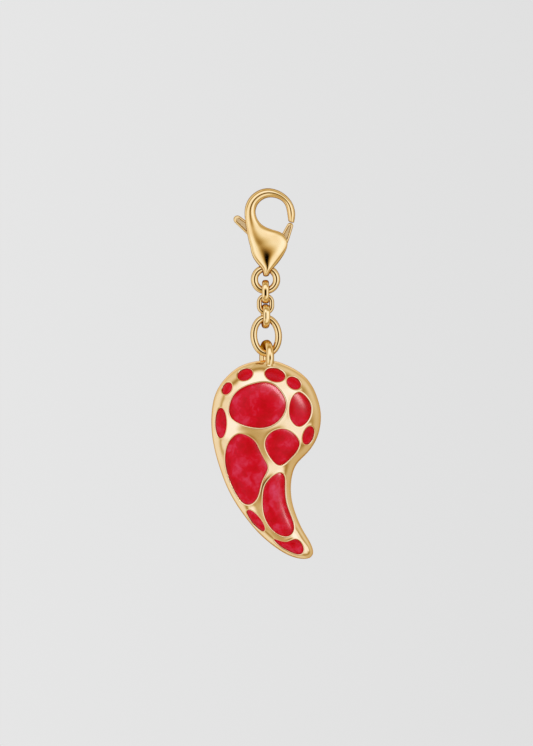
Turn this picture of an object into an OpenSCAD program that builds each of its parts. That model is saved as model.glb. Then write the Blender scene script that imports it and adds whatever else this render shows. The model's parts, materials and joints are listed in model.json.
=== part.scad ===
// Chili pepper charm: a polished gold pepper set with red inlays, hung by its bail from a short
// chain and a lobster clasp. Sizes are in millimetres. +Z is up and the front faces -Y.
// The origin is the top of the clasp's opening, where the charm hangs.

/* [Clasp] */
// Depth of the lip that holds the top ring, below the top of the clasp's opening
eye_drop = 10.55; // [10.4:0.05:10.7]
// Diameter of the eye's hole
eye_hole_d = 1.3; // [1.25:0.05:1.4]
// Thickness of the eye's wall
eye_wall = 0.5; // [0.4:0.05:0.6]
// Width of the eye, seen from the front
eye_width = 1.0; // [0.9:0.05:1.1]
// Sideways place of the eye
eye_x = -0.50; // [-0.6:0.02:-0.4]
// Thickness of the lever, from front to back
lever_t = 0.95; // [0.8:0.05:1.0]
// Space on each side of the lever in its slot
lever_play = 0.05; // [0.03:0.01:0.08]
// Diameter of the pin that the lever turns on
pin_d = 0.7; // [0.5:0.05:0.8]
// Length of the pin
pin_l = 1.9; // [1.7:0.05:2.0]

/* [Chain] */
// Outer diameter of the round top ring
ring_d = 4.1; // [4.0:0.05:4.2]
// Wire diameter of the top ring
ring_wire = 1.0; // [0.9:0.02:1.0]
// Width of the small links' wire, seen from the front on the edge-on links
link_wire_w = 0.98; // [0.9:0.02:1.0]
// Thickness of the small links' wire, across the link
link_wire_t = 0.65; // [0.6:0.01:0.66]
// Thickness of the lower link's wire, across the link
lower_wire_t = 0.75; // [0.65:0.01:0.76]
// Turn of the lower link away from edge on
lower_turn = 10; // [0:1:12]
// Width of the hole in an edge-on link
link_hole_w = 1.1; // [1.08:0.01:1.2]
// Length of the hole in the upper and the lower edge-on link
link_hole_l = 1.74; // [1.72:0.02:1.9]
// Width of the hole in the middle link
middle_hole_w = 1.18; // [1.12:0.02:1.24]
// Length of the hole in the middle link
middle_hole_l = 1.54; // [1.52:0.02:1.6]
// Thickness of the middle link's wire, seen from the front
middle_wire_t = 0.62; // [0.56:0.02:0.62]
// Depth of the middle link's wire, from front to back
middle_wire_w = 0.8; // [0.7:0.02:0.86]
// Outer height of the oval link
oval_h = 5.9; // [5.8:0.05:6.1]
// Outer width of the oval link
oval_w = 4.42; // [4.3:0.02:4.6]
// Wire diameter of the oval link
oval_wire = 0.95; // [0.85:0.01:0.96]
// Sideways place of the oval link's middle
oval_x = -0.47; // [-0.55:0.01:-0.4]
// Lean of the oval link, top to the left
oval_lean = 4; // [0:1:6]
// Clearance where one link rests on the next
rest_gap = 0.05; // [0.04:0.01:0.06]

/* [Pepper] */
// Outer diameter of the bail
bail_d = 4.5; // [4.4:0.05:4.6]
// Wire diameter of the bail
bail_wire = 1.1; // [1.0:0.02:1.1]
// Clearance between the bail and the oval link
bail_gap = 0.06; // [0.05:0.01:0.08]
// Turn of the bail away from edge on
bail_turn = 16; // [10:1:16]
// Height of the bail's middle above the top of the pepper
bail_rise = 0.32; // [0.25:0.05:0.4]
// Roundness of the pepper's sections, 2 for an ellipse and more for a fuller one
fullness = 2.3; // [2:0.1:3]

/* [Inlays] */
// Space round each inlay in its cell
inlay_gap = 0.03; // [0.02:0.01:0.05]
// Depth of the cells at their shallowest side
cell_depth = 0.45; // [0.35:0.05:0.6]
// Height of an inlay's crown above the gold round it
inlay_crown = 0.08; // [0:0.01:0.12]

/* [Hidden] */
$fn = 48;
gold = [0.93, 0.76, 0.5];
red = [0.78, 0.03, 0.08];

// The clasp's hook and body, from the hook's tip over the top and down to the neck.
// Columns: outer x, outer z, inner x, inner z, half thickness.
clasp_rows = [
    [3.47, -3.49, 2.62, -3.26, 0.40],
    [3.61, -2.10, 2.45, -2.00, 0.53],
    [3.37, -1.10, 2.24, -1.05, 0.58],
    [2.77, -0.14, 1.67, -0.46, 0.62],
    [1.68, 0.81, 0.91, -0.11, 0.65],
    [0.00, 1.36, 0.00, 0.00, 0.68],
    [-1.54, 1.05, -0.91, -0.28, 0.70],
    [-2.73, 0.14, -1.61, -0.90, 0.74],
    [-3.35, -0.98, -1.93, -1.61, 0.80],
    [-3.53, -2.10, -1.99, -2.31, 0.88],
    [-3.43, -3.22, -1.71, -3.18, 0.98],
    [-3.29, -4.20, -1.12, -3.89, 1.08],
    [-3.15, -5.04, -0.35, -4.34, 1.18],
    [-3.01, -5.81, 0.70, -4.66, 1.25],
    [-2.83, -6.51, 1.75, -4.93, 1.30],
    [-2.66, -7.11, 2.31, -5.64, 1.30],
    [-2.60, -7.67, 2.63, -6.37, 1.30],
    [-2.36, -8.36, 2.44, -7.24, 1.30],
    [-2.03, -8.92, 2.09, -7.95, 1.26],
    [-1.64, -9.42, 1.61, -8.68, 1.20],
    [-1.26, -9.80, 1.05, -9.38, 1.13],
    [-1.02, -10.00, 0.30, -9.92, 1.05]
];
clasp_sides = 16;
clasp_fullness = 2.6;
// The bore that clears the neck for the eye, whose own round wall then lines the hole.
eye_bore_d = eye_hole_d + 0.1;
eye_bore_l = 8;

// The lever turns about pivot. Its discs are joined in order: [x, z, radius].
pivot = [1.40, -6.93];
hub_r = 0.84;
thumb_discs = [[-4.48, -3.15, 0.56], [-2.17, -5.11, 0.77], [pivot[0], pivot[1], hub_r]];
gate_discs = [[pivot[0], pivot[1], hub_r], [2.11, -5.85, 0.64], [2.93, -3.91, 0.43]];
lever_bore_play = 0.03;
pin_play = 0.01;
// The slot in the clasp's body, wide enough for the lever from shut to open.
slot_outline = [
    [-4.35, -2.35], [-1.70, -4.25], [0.25, -5.20], [0.35, -4.05], [3.35, -4.05], [3.35, -7.30],
    [2.40, -7.95], [1.45, -8.05], [-2.45, -8.45], [-3.70, -8.55]
];

// The pepper, from its top to its tip, in its own frame with z from its top.
// Columns: left x, left z, right x, right z, half thickness.
pepper_rows = [
    [-1.10, -0.10, 1.00, -0.10, 0.90],
    [-2.10, -0.30, 1.80, -0.25, 1.40],
    [-3.10, -0.60, 2.75, -0.65, 1.85],
    [-4.05, -1.05, 3.55, -1.00, 2.20],
    [-5.10, -1.90, 4.60, -1.60, 2.55],
    [-6.10, -2.95, 5.75, -2.55, 2.85],
    [-6.90, -4.20, 6.70, -3.95, 3.05],
    [-7.40, -5.60, 7.30, -5.55, 3.15],
    [-7.65, -7.40, 7.70, -7.15, 3.20],
    [-7.70, -9.10, 7.70, -8.95, 3.20],
    [-7.50, -11.20, 7.20, -11.05, 3.15],
    [-7.00, -13.45, 5.95, -12.95, 3.00],
    [-6.35, -15.55, 4.50, -14.15, 2.80],
    [-5.55, -17.70, 3.80, -15.35, 2.65],
    [-4.55, -19.60, 3.45, -17.10, 2.45],
    [-3.50, -21.20, 3.45, -18.90, 2.30],
    [-2.30, -22.80, 3.80, -20.60, 2.15],
    [-1.00, -24.30, 4.35, -22.10, 2.00],
    [0.35, -25.50, 4.90, -23.40, 1.85],
    [1.80, -26.60, 5.65, -24.65, 1.65],
    [3.20, -27.40, 6.30, -25.70, 1.40],
    [4.35, -27.75, 6.60, -26.65, 1.10],
    [5.15, -27.90, 6.55, -27.20, 0.70],
    [5.75, -27.90, 6.35, -27.60, 0.30]
];
pepper_sides = 28;

// Cells that are plain ovals. Columns: middle x, middle z, half length, half width, tilt.
oval_cells = [
    [-2.95, -2.00, 1.12, 0.83, 20],
    [1.25, -2.05, 1.44, 0.95, -15],
    [-5.50, -3.95, 0.92, 0.66, 58],
    [3.90, -3.20, 1.06, 0.80, -35],
    [-6.35, -8.80, 2.11, 0.81, 90],
    [5.95, -10.55, 1.33, 0.77, 72],
    [-1.45, -22.45, 1.85, 0.64, -51]
];
// Cells with a shape of their own, each a ring of [x, z] points taken clockwise.
drawn_cells = [
    [
        [-5.18, -7.10], [-4.70, -5.25], [-3.50, -4.00], [-1.90, -3.35], [-0.15, -3.10], [1.40, -3.70],
        [2.45, -5.05], [2.75, -6.50], [2.05, -8.10], [0.55, -9.20], [-1.35, -9.45], [-3.35, -9.00],
        [-4.65, -8.25]
    ],
    [
        [4.60, -4.50], [5.45, -4.95], [6.20, -6.00], [6.35, -7.15], [5.95, -8.35], [4.90, -9.25],
        [3.90, -8.90], [3.30, -7.70], [3.35, -6.15], [3.80, -5.05]
    ],
    [
        [2.10, -9.65], [3.65, -10.15], [4.60, -11.35], [4.40, -12.60], [3.35, -13.85], [1.95, -14.70],
        [0.65, -13.65], [-0.10, -11.90], [0.50, -10.35]
    ],
    [
        [-3.35, -10.35], [-1.80, -11.15], [-1.00, -12.45], [-0.20, -14.00], [0.20, -15.25],
        [-0.55, -16.85], [-1.05, -18.75], [-1.95, -20.00], [-3.35, -19.90], [-4.60, -18.05],
        [-5.40, -16.10], [-5.75, -14.00], [-5.40, -11.95], [-4.50, -10.70]
    ],
    [
        [1.80, -15.80], [2.65, -16.45], [2.70, -18.05], [2.95, -20.15], [3.65, -22.10], [3.90, -23.65],
        [3.00, -24.60], [1.40, -24.15], [0.15, -22.70], [-0.40, -20.85], [-0.40, -18.75], [0.20, -17.00]
    ],
    [
        [1.10, -25.10], [2.10, -25.35], [3.20, -25.35], [4.25, -25.05], [5.05, -25.75], [5.20, -26.75],
        [4.40, -27.20], [2.95, -26.65], [1.80, -25.95]
    ]
];
cells = concat(
    [for (oval = oval_cells) oval_outline(oval)],
    [for (points = drawn_cells) smooth_loop(points)]
);
// Length of the cut that opens a cell, enough to pass out through the pepper's front.
cell_cut = 4;

oval_steps = 48;
oval_sides = 14;

// Heights, from the clasp's eye down to the pepper. Each link rests on the one above it.
eye_z = -eye_drop + eye_hole_d / 2;
ring_z = -eye_drop + rest_gap - ring_d / 2 + ring_wire;
upper_z = link_below(ring_z - ring_d / 2 + ring_wire, link_hole_l);
middle_z = link_below(upper_z - link_hole_l / 2, middle_hole_l);
lower_z = link_below(middle_z - middle_hole_l / 2, link_hole_l);
// The oval link's wire follows an ellipse that leans about its middle. Its highest and lowest
// points are where it touches its neighbours.
oval_long = (oval_h - oval_wire) / 2;
oval_short = (oval_w - oval_wire) / 2;
oval_reach = norm([oval_long * cos(oval_lean), oval_short * sin(oval_lean)]);
oval_z = lower_z - link_hole_l / 2 + rest_gap - oval_reach + oval_wire / 2;
oval_shift = (pow(oval_long, 2) - pow(oval_short, 2)) * sin(oval_lean) * cos(oval_lean) / oval_reach;
chain_x = oval_x - oval_shift;
bail_x = oval_x + oval_shift;
swing_z = oval_z - oval_reach;
bail_r = (bail_d - bail_wire) / 2;
bail_z = swing_z + oval_wire / 2 + bail_gap + bail_wire / 2 - bail_r;
pepper_x = bail_x - 0.1;
pepper_z = bail_z - bail_rise;

// The middle of a link whose hole is hole_l long, hung with its top on a wire at height rest_z.
function link_below(rest_z, hole_l) = rest_z + rest_gap - hole_l / 2;

// A smooth curve through b and c, steered by their neighbours a and d.
function spline(a, b, c, d, t) =
    0.5 * (2 * b + (c - a) * t + (2 * a - 5 * b + 4 * c - d) * t * t + (3 * b - a - 3 * c + d) * t * t * t);

// The row at place s of a table, where whole numbers are the table's own rows.
function row_at(rows, s) =
    let (last = len(rows) - 1, i = min(floor(s), last - 1))
    spline(rows[max(i - 1, 0)], rows[i], rows[i + 1], rows[min(i + 2, last)], s - i);

// A closed curve through a ring of points, with two points added in each span.
function smooth_loop(points, steps = 3) =
    let (n = len(points))
    [for (i = [0 : n - 1], k = [0 : steps - 1])
        spline(points[(i + n - 1) % n], points[i], points[(i + 1) % n], points[(i + 2) % n], k / steps)];

// An oval taken clockwise. Its row is middle x, middle z, half length, half width, tilt.
function oval_outline(oval, steps = 24) =
    [for (k = [0 : steps - 1])
        let (a = -360 * k / steps, u = oval[2] * cos(a), v = oval[3] * sin(a))
        [oval[0] + u * cos(oval[4]) - v * sin(oval[4]), oval[1] + u * sin(oval[4]) + v * cos(oval[4])]];

// A clockwise outline drawn in by a distance.
function inset(outline, distance) =
    let (n = len(outline))
    [for (k = [0 : n - 1])
        let (run = outline[(k + 1) % n] - outline[(k + n - 1) % n])
        outline[k] + distance * [run[1], -run[0]] / norm(run)];

function mean(points) = [for (p = points) 1] * points / len(points);

function squared_off(value, power) = sign(value) * pow(abs(value), 2 / power);

// The ring of points round one section. Its row is x and z of one edge, of the other, half thickness.
function section_ring(row, sides, power) =
    let (middle = [row[0] + row[2], row[1] + row[3]] / 2, reach = [row[2] - row[0], row[3] - row[1]] / 2)
    [for (k = [0 : sides - 1])
        let (u = squared_off(cos(360 * k / sides), power), v = squared_off(sin(360 * k / sides), power))
        [middle[0] + u * reach[0], v * row[4], middle[1] + u * reach[1]]];

function section_rings(rows, sides, power) =
    [for (i = [0 : 0.5 : len(rows) - 1]) section_ring(row_at(rows, i), sides, power)];

// More than 0 above the line through a section's two edges and less than 0 below it.
function above_section(row, x, z) = (row[2] - row[0]) * (z - row[1]) - (row[3] - row[1]) * (x - row[0]);

// The place in the pepper's table of the section that runs through [x, z], found by halving.
function section_of(x, z, low = 0, high = len(pepper_rows) - 1, steps = 12) =
    let (middle = (low + high) / 2)
    steps == 0 ? middle
    : above_section(row_at(pepper_rows, middle), x, z) < 0 ? section_of(x, z, middle, high, steps - 1)
    : section_of(x, z, low, middle, steps - 1);

// How far the pepper's front stands out from its middle plane at [x, z].
function front_depth(x, z) =
    let (
        row = row_at(pepper_rows, section_of(x, z)),
        reach = [row[2] - row[0], row[3] - row[1]] / 2,
        offset = [x - (row[0] + row[2]) / 2, z - (row[1] + row[3]) / 2],
        u = offset * reach / (reach * reach)
    )
    row[4] * pow(max(0, 1 - pow(abs(u), fullness)), 1 / fullness);

// How far a cell's floor stands out from the pepper's middle plane.
function floor_depth(outline) = min([for (p = outline) front_depth(p[0], p[1])]) - cell_depth;

// A closed skin over a row of rings with the same number of points, ended by a fan at each end.
module loft(rings) {
    n = len(rings[0]);
    last = len(rings) - 1;
    skin = [for (ring = rings) each ring];
    start = len(skin);
    walls = [for (i = [0 : last - 1], k = [0 : n - 1])
        let (a = i * n + k, b = i * n + (k + 1) % n)
        each [[a, b, b + n], [a, b + n, a + n]]];
    start_fan = [for (k = [0 : n - 1]) [start, (k + 1) % n, k]];
    end_fan = [for (k = [0 : n - 1]) [start + 1, last * n + k, last * n + (k + 1) % n]];
    polyhedron(concat(skin, [mean(rings[0]), mean(rings[last])]), concat(walls, start_fan, end_fan));
}

// A closed skin over rings that run round a loop, the last one joined to the first.
module closed_loft(rings) {
    n = len(rings[0]);
    total = len(rings) * n;
    polyhedron([for (ring = rings) each ring], [for (i = [0 : len(rings) - 1], k = [0 : n - 1])
        let (a = i * n + k, b = i * n + (k + 1) % n)
        each [[a, (b + n) % total, b], [a, (a + n) % total, (b + n) % total]]]);
}

// A flat shape drawn in x and z, given a thickness about the middle plane.
module upright(thickness) {
    rotate([90, 0, 0]) linear_extrude(thickness, center = true) children();
}

module disc_chain(discs) {
    for (i = [0 : len(discs) - 2]) {
        hull() {
            for (disc = [discs[i], discs[i + 1]]) {
                translate([disc[0], disc[1]]) circle(disc[2], $fn = 32);
            }
        }
    }
}

module pivot_bore(diameter, length) {
    translate([pivot[0], 0, pivot[1]]) rotate([90, 0, 0]) cylinder(h = length, d = diameter, center = true);
}

module clasp_body() {
    color(gold) {
        difference() {
            loft(section_rings(clasp_rows, clasp_sides, clasp_fullness));
            upright(lever_t + 2 * lever_play) polygon(slot_outline);
            translate([eye_x, 0, eye_z]) rotate([0, 90, 0]) {
                cylinder(h = eye_bore_l, d = eye_bore_d, center = true);
            }
            pivot_bore(pin_d + 2 * pin_play, pin_l + 2 * lever_play);
        }
        translate([eye_x, 0, eye_z]) rotate([0, 90, 0]) rotate_extrude() {
            translate([(eye_hole_d + eye_wall) / 2, 0]) wire_section(eye_wall, eye_width);
        }
    }
}

module clasp_lever() {
    color(gold) difference() {
        upright(lever_t) {
            disc_chain(thumb_discs);
            disc_chain(gate_discs);
        }
        pivot_bore(pin_d + 2 * lever_bore_play, 2 * lever_t);
    }
}

module lever_pin() {
    color(gold) pivot_bore(pin_d, pin_l);
}

module top_ring() {
    color(gold) translate([chain_x, 0, ring_z]) rotate([90, 0, 0]) rotate_extrude() {
        translate([(ring_d - ring_wire) / 2, 0]) circle(ring_wire / 2);
    }
}

// The cut through a link's wire, thickness across the link and width along its axis.
module wire_section(thickness, width, steps = 24) {
    polygon([for (k = [0 : steps - 1])
        [thickness / 2 * cos(360 * k / steps), width / 2 * sin(360 * k / steps)]]);
}

// A link with straight sides and round ends, upright and face on.
module link(hole_l, hole_w, wire_t, wire_w) {
    reach = (hole_w + wire_t) / 2;
    straight = hole_l - hole_w;
    rotate([90, 0, 0]) for (turn = [0, 180]) {
        rotate([0, 0, turn]) translate([0, straight / 2, 0]) {
            rotate_extrude(angle = 180) translate([reach, 0]) wire_section(wire_t, wire_w);
            translate([reach, 0, 0]) rotate([90, 0, 0]) linear_extrude(straight) {
                wire_section(wire_t, wire_w);
            }
        }
    }
}

module edge_on_link(z, wire_t, turn) {
    color(gold) translate([chain_x, 0, z]) rotate([0, 0, 90 + turn]) {
        link(link_hole_l, link_hole_w, wire_t, link_wire_w);
    }
}

module link_upper() {
    edge_on_link(upper_z, link_wire_t, 0);
}

module link_middle() {
    color(gold) translate([chain_x, 0, middle_z]) {
        link(middle_hole_l, middle_hole_w, middle_wire_t, middle_wire_w);
    }
}

module link_lower() {
    edge_on_link(lower_z, lower_wire_t, lower_turn);
}

// The ring of points round the oval link's wire at one angle of its ellipse.
function oval_ring(angle) =
    let (outward = [oval_long * cos(angle), oval_short * sin(angle)], out = outward / norm(outward))
    [for (k = [0 : oval_sides - 1])
        let (turn = 360 * k / oval_sides, r = oval_wire / 2)
        [
            oval_short * cos(angle) + r * cos(turn) * out[0],
            r * sin(turn),
            oval_long * sin(angle) + r * cos(turn) * out[1]
        ]];

module oval_link() {
    color(gold) translate([oval_x, 0, oval_z]) rotate([0, -oval_lean, 0]) {
        closed_loft([for (i = [0 : oval_steps - 1]) oval_ring(360 * i / oval_steps)]);
    }
}

module bail() {
    translate([bail_x, 0, bail_z]) rotate([0, 0, bail_turn]) rotate([0, 90, 0]) rotate_extrude() {
        translate([bail_r, 0]) circle(bail_wire / 2);
    }
}

module cell(outline) {
    translate([0, -floor_depth(outline), 0]) rotate([90, 0, 0]) linear_extrude(cell_cut) {
        polygon(outline);
    }
}

module pendant_body() {
    color(gold) {
        translate([pepper_x, 0, pepper_z]) difference() {
            loft(section_rings(pepper_rows, pepper_sides, fullness));
            for (outline = cells) {
                cell(outline);
            }
        }
        bail();
    }
}

// One red piece, flat underneath and crowned a little above the gold round it.
module inlay(outline) {
    edge = inset(outline, inlay_gap);
    middle = mean(edge);
    under = -floor_depth(outline) - inlay_gap;
    top_rings = [for (scale = [1, 0.7, 0.35])
        [for (p = edge)
            let (q = middle + scale * (p - middle))
            [q[0], -front_depth(q[0], q[1]) - inlay_crown * (1 - scale * scale), q[1]]]];
    color(red) translate([pepper_x, 0, pepper_z]) {
        loft(concat([[for (p = edge) [p[0], under, p[1]]]], top_rings));
    }
}

clasp_body();
clasp_lever();
lever_pin();
top_ring();
link_upper();
link_middle();
link_lower();
oval_link();
pendant_body();
for (i = [1 : len(cells)]) {
    inlay(cells[i - 1]);
}
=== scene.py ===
"""The looks of a chili pepper charm: a polished gold pepper with red inlays on a chain and a clasp.

Shapes are worked out in millimetres, in the part's own frame: the origin is the inside top of the
clasp's hook, +Z is up and -Y is the front. They become metres only when a mesh is made. A flat point
is a pair of x and z.
"""
import json
import logging
import math
from dataclasses import dataclass, field
from enum import Enum
from typing import Iterable, Sequence

import bpy
import numpy as np
from mathutils import Matrix, Vector
from mathutils.bvhtree import BVHTree
from mathutils.geometry import delaunay_2d_cdt
from mathutils.interpolate import poly_3d_calc


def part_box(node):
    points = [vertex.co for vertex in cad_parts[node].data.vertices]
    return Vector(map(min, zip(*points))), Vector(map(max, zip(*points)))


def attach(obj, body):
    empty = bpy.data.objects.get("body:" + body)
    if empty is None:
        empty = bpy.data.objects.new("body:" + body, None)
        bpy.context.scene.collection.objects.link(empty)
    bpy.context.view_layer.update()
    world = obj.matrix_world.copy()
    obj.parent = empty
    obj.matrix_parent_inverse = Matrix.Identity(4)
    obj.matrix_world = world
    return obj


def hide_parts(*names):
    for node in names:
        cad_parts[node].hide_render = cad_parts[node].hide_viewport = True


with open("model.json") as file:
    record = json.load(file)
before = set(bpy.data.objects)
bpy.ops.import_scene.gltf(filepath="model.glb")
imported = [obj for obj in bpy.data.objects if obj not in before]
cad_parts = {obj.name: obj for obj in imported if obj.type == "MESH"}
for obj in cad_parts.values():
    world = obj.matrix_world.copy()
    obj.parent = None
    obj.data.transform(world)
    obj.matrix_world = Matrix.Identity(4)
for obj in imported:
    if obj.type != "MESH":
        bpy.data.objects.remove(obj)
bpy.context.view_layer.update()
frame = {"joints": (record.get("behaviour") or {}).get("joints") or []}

LOG = logging.getLogger("chili_charm")
Array = np.ndarray
Colour = tuple[float, float, float, float]
Faces = list[Sequence[int]]
Socket = bpy.types.NodeSocket
Tree = bpy.types.NodeTree
Inputs = dict[str | int, float | Colour | Vector | Socket]

MM = 0.001
# The sRGB curve: where its straight part ends, that part's slope, and the rest's offset and power.
SRGB_CURVE = (0.04045, 12.92, 0.055, 2.4)
# A mix node's colour sockets share their names with its number sockets, so they go by number.
COLOUR_A, COLOUR_B, MIXED_COLOUR = 6, 7, 2
# How many points are measured against a loop at once, which bounds the memory that it takes.
BATCH = 2000
# Nothing is divided by less than this.
TINY = 1e-12
# The height of a triangle whose three sides are 1 long.
ROW_RISE = math.sqrt(0.75)
# Points of a grid stay this share of its step away from a loop.
GRID_CLEAR = 0.55


class Body(Enum):
    """The rigid bodies that a piece can ride on."""

    CLASP = "clasp_and_chain"
    LEVER = "lever"
    PEPPER = "pepper"


class Slot(Enum):
    """The material slots of the record."""

    GOLD = "gold"
    RED = "red_inlay"


def linear(hex_colour: str) -> Colour:
    """Turns an sRGB hex colour into linear light.

    Args:
        hex_colour: a colour such as "#FFDAA2".

    Returns:
        Linear red, green and blue, and an alpha of 1.
    """
    knee, slope, offset, power = SRGB_CURVE
    parts = [int(hex_colour[i : i + 2], 16) / 255 for i in (1, 3, 5)]
    red, green, blue = (c / slope if c <= knee else ((c + offset) / (1 + offset)) ** power for c in parts)
    return red, green, blue, 1.0


def add_node(tree: Tree, kind: str, inputs: Inputs | None = None, **settings: str) -> bpy.types.Node:
    """Adds a shader node.

    Args:
        tree: the node tree to add to.
        kind: the node's type, such as "ShaderNodeBump".
        inputs: for each input socket a value, or the output socket that feeds it.
        **settings: the node's own properties.

    Returns:
        The new node.
    """
    node = tree.nodes.new(kind)
    for name, value in settings.items():
        setattr(node, name, value)
    for socket, value in (inputs or {}).items():
        if isinstance(value, Socket):
            tree.links.new(value, node.inputs[socket])
        else:
            node.inputs[socket].default_value = value
    return node


def calculate(tree: Tree, operation: str, *inputs: float | Socket) -> Socket:
    """Works a number out of others, such as by "MULTIPLY"."""
    return add_node(tree, "ShaderNodeMath", dict(enumerate(inputs)), operation=operation).outputs["Value"]


def blended(tree: Tree, share: float | Socket, under: Socket, over: float | Socket) -> Socket:
    """Lays one number over another by its share."""
    return add_node(tree, "ShaderNodeMix", {"Factor": share, "A": under, "B": over}).outputs["Result"]


def mixed(tree: Tree, share: Socket, under: Colour | Socket, over: Colour | Socket) -> Socket:
    """Lays one colour over another by its share."""
    inputs = {"Factor": share, COLOUR_A: under, COLOUR_B: over}
    return add_node(tree, "ShaderNodeMix", inputs, data_type="RGBA").outputs[MIXED_COLOUR]


def remapped(
    tree: Tree, value: Socket, old: Sequence[float], new: Sequence[float] = (0.0, 1.0), curve: str = "LINEAR"
) -> Socket:
    """Maps a number from one range to another.

    Args:
        tree: the node tree to add to.
        value: the number.
        old: its range.
        new: what the ends of that range become.
        curve: how it runs between them, such as "SMOOTHSTEP".

    Returns:
        The new number.
    """
    inputs = {"Value": value, "From Min": old[0], "From Max": old[1], "To Min": new[0], "To Max": new[1]}
    return add_node(tree, "ShaderNodeMapRange", inputs, interpolation_type=curve).outputs["Result"]


def noise(tree: Tree, size_mm: float, detail: float, distortion: float = 0.0) -> Socket:
    """A pattern fixed to the piece.

    Args:
        tree: the node tree to add to.
        size_mm: the real size of its coarsest features.
        detail: how many finer layers it has.
        distortion: how much it is drawn out.

    Returns:
        The pattern's value, from 0 to 1.
    """
    place = add_node(tree, "ShaderNodeTexCoord").outputs["Object"]
    inputs = {"Vector": place, "Scale": 1 / (size_mm * MM), "Detail": detail, "Distortion": distortion}
    return add_node(tree, "ShaderNodeTexNoise", inputs).outputs["Fac"]


def bumped(tree: Tree, pattern: Socket, depth_mm: float) -> Socket:
    """The surface's direction where a pattern raises it by a real depth."""
    return add_node(tree, "ShaderNodeBump", {"Height": pattern, "Distance": depth_mm * MM}).outputs["Normal"]


def tinted(tree: Tree, value: Socket, stops: Sequence[tuple[float, str]]) -> Socket:
    """Colours a pattern.

    Args:
        tree: the node tree to add to.
        value: the pattern.
        stops: its values with their sRGB colours, at least two.

    Returns:
        The colour.
    """
    ramp = add_node(tree, "ShaderNodeValToRGB", {"Fac": value})
    elements = ramp.color_ramp.elements
    while len(elements) < len(stops):
        elements.new(1.0)
    for element, (place, colour) in zip(elements, stops):
        element.position = place
        element.color = linear(colour)
    return ramp.outputs["Color"]


@dataclass(frozen=True)
class Finish:
    """A real material and the way that its surface was made."""

    name: str

    def inputs(self, tree: Tree) -> Inputs:
        """What feeds the shader, by socket: each finish has its own."""
        raise NotImplementedError

    def build(self) -> bpy.types.Material:
        """Makes the material.

        Returns:
            The new material.
        """
        material = bpy.data.materials.new(self.name)
        material.use_nodes = True
        tree = material.node_tree
        tree.nodes.clear()
        shader = add_node(tree, "ShaderNodeBsdfPrincipled", self.inputs(tree))
        add_node(tree, "ShaderNodeOutputMaterial", {"Surface": shader.outputs["BSDF"]})
        return material


@dataclass(frozen=True)
class BuffedGold(Finish):
    """18 ct yellow gold, cast and buffed to a mirror with a cloth wheel.

    The alloy's silver and copper make it paler than pure gold. Buffing leaves a mirror with very
    soft swirls, so reflections are sharp at their core and a little milky at their edges.
    """

    name: str = "yellow_gold_18ct_buffed"
    colour: str = "#FFE09E"
    deep_colour: str = "#FCD994"
    # The colour and the reflection's tint towards glancing angles. By default it is the metal's own paler
    # grazing tint; the wire gold's dark brown there is painted shade.
    glancing_tint_and_shade: str = "#FFE0B0"
    # How far the surface turns from the eye where the glancing colour begins and where it is full.
    edge_range: tuple[float, float] = (0.6, 1.0)
    edge_blend: float = 0.5
    roughness: tuple[float, float] = (0.05, 0.09)
    # The haze's and the swirls' size in mm and detail.
    haze: tuple[float, float] = (2.2, 3.0)
    swirl: tuple[float, float] = (0.5, 2.0)
    haze_range: tuple[float, float] = (0.35, 0.65)
    tint_range: tuple[float, float] = (0.3, 0.6)
    swirl_depth_mm: float = 0.0002

    def inputs(self, tree: Tree) -> Inputs:
        """What feeds the shader, by socket.

        Args:
            tree: the material's node tree.

        Returns:
            The values and sockets.
        """
        haze = noise(tree, *self.haze)
        tint = tinted(tree, haze, [*zip(self.tint_range, (self.deep_colour, self.colour))])
        facing = add_node(tree, "ShaderNodeLayerWeight", {"Blend": self.edge_blend}).outputs["Facing"]
        # Towards the edges seen at a glance, the colour goes over to the glancing colour. Where that colour
        # is dark, as in the wire gold, this is painted shade.
        glancing = remapped(tree, facing, self.edge_range, curve="SMOOTHSTEP")
        return {
            "Metallic": 1.0,
            "Specular Tint": linear(self.glancing_tint_and_shade),
            "Base Color": mixed(tree, glancing, tint, linear(self.glancing_tint_and_shade)),
            "Roughness": remapped(tree, haze, self.haze_range, self.roughness),
            "Normal": bumped(tree, noise(tree, *self.swirl), self.swirl_depth_mm),
        }


@dataclass(frozen=True)
class SatinGold(Finish):
    """The same gold where the wheel can't reach: the fine grain of the casting, only bright-dipped."""

    name: str = "yellow_gold_18ct_satin"
    colour: str = "#F2D28E"
    roughness: float = 0.42
    # The grain's size in mm and detail.
    grain: tuple[float, float] = (0.12, 2.0)
    grain_depth_mm: float = 0.0008

    def inputs(self, tree: Tree) -> Inputs:
        """What feeds the shader, by socket."""
        normal = bumped(tree, noise(tree, *self.grain), self.grain_depth_mm)
        return {
            "Metallic": 1.0,
            "Base Color": linear(self.colour),
            "Roughness": self.roughness,
            "Normal": normal,
        }


@dataclass(frozen=True)
class PolishedRedInlay(Finish):
    """Red hardstone, cut to fill each cell, domed and polished.

    Paler veils drift through the deep red, a millimetre or two wide, and the polish is glossy.
    """

    name: str = "red_hardstone_polished"
    # The deep red, the body's red and the veils' red, by the pattern's value.
    reds: tuple[tuple[float, str], ...] = ((0.40, "#DE000E"), (0.52, "#F0001C"), (0.72, "#FA4860"))
    # The veils' and the finer wisps' size in mm, detail and distortion.
    veils: tuple[float, float, float] = (2.6, 2.0, 0.4)
    wisps: tuple[float, float, float] = (0.8, 4.0, 0.8)
    wisp_share: float = 0.35
    roughness: float = 0.24
    ior: float = 1.25

    def inputs(self, tree: Tree) -> Inputs:
        """What feeds the shader, by socket."""
        drift = blended(tree, self.wisp_share, noise(tree, *self.veils), noise(tree, *self.wisps))
        return {"Roughness": self.roughness, "IOR": self.ior, "Base Color": tinted(tree, drift, self.reds)}


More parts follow.
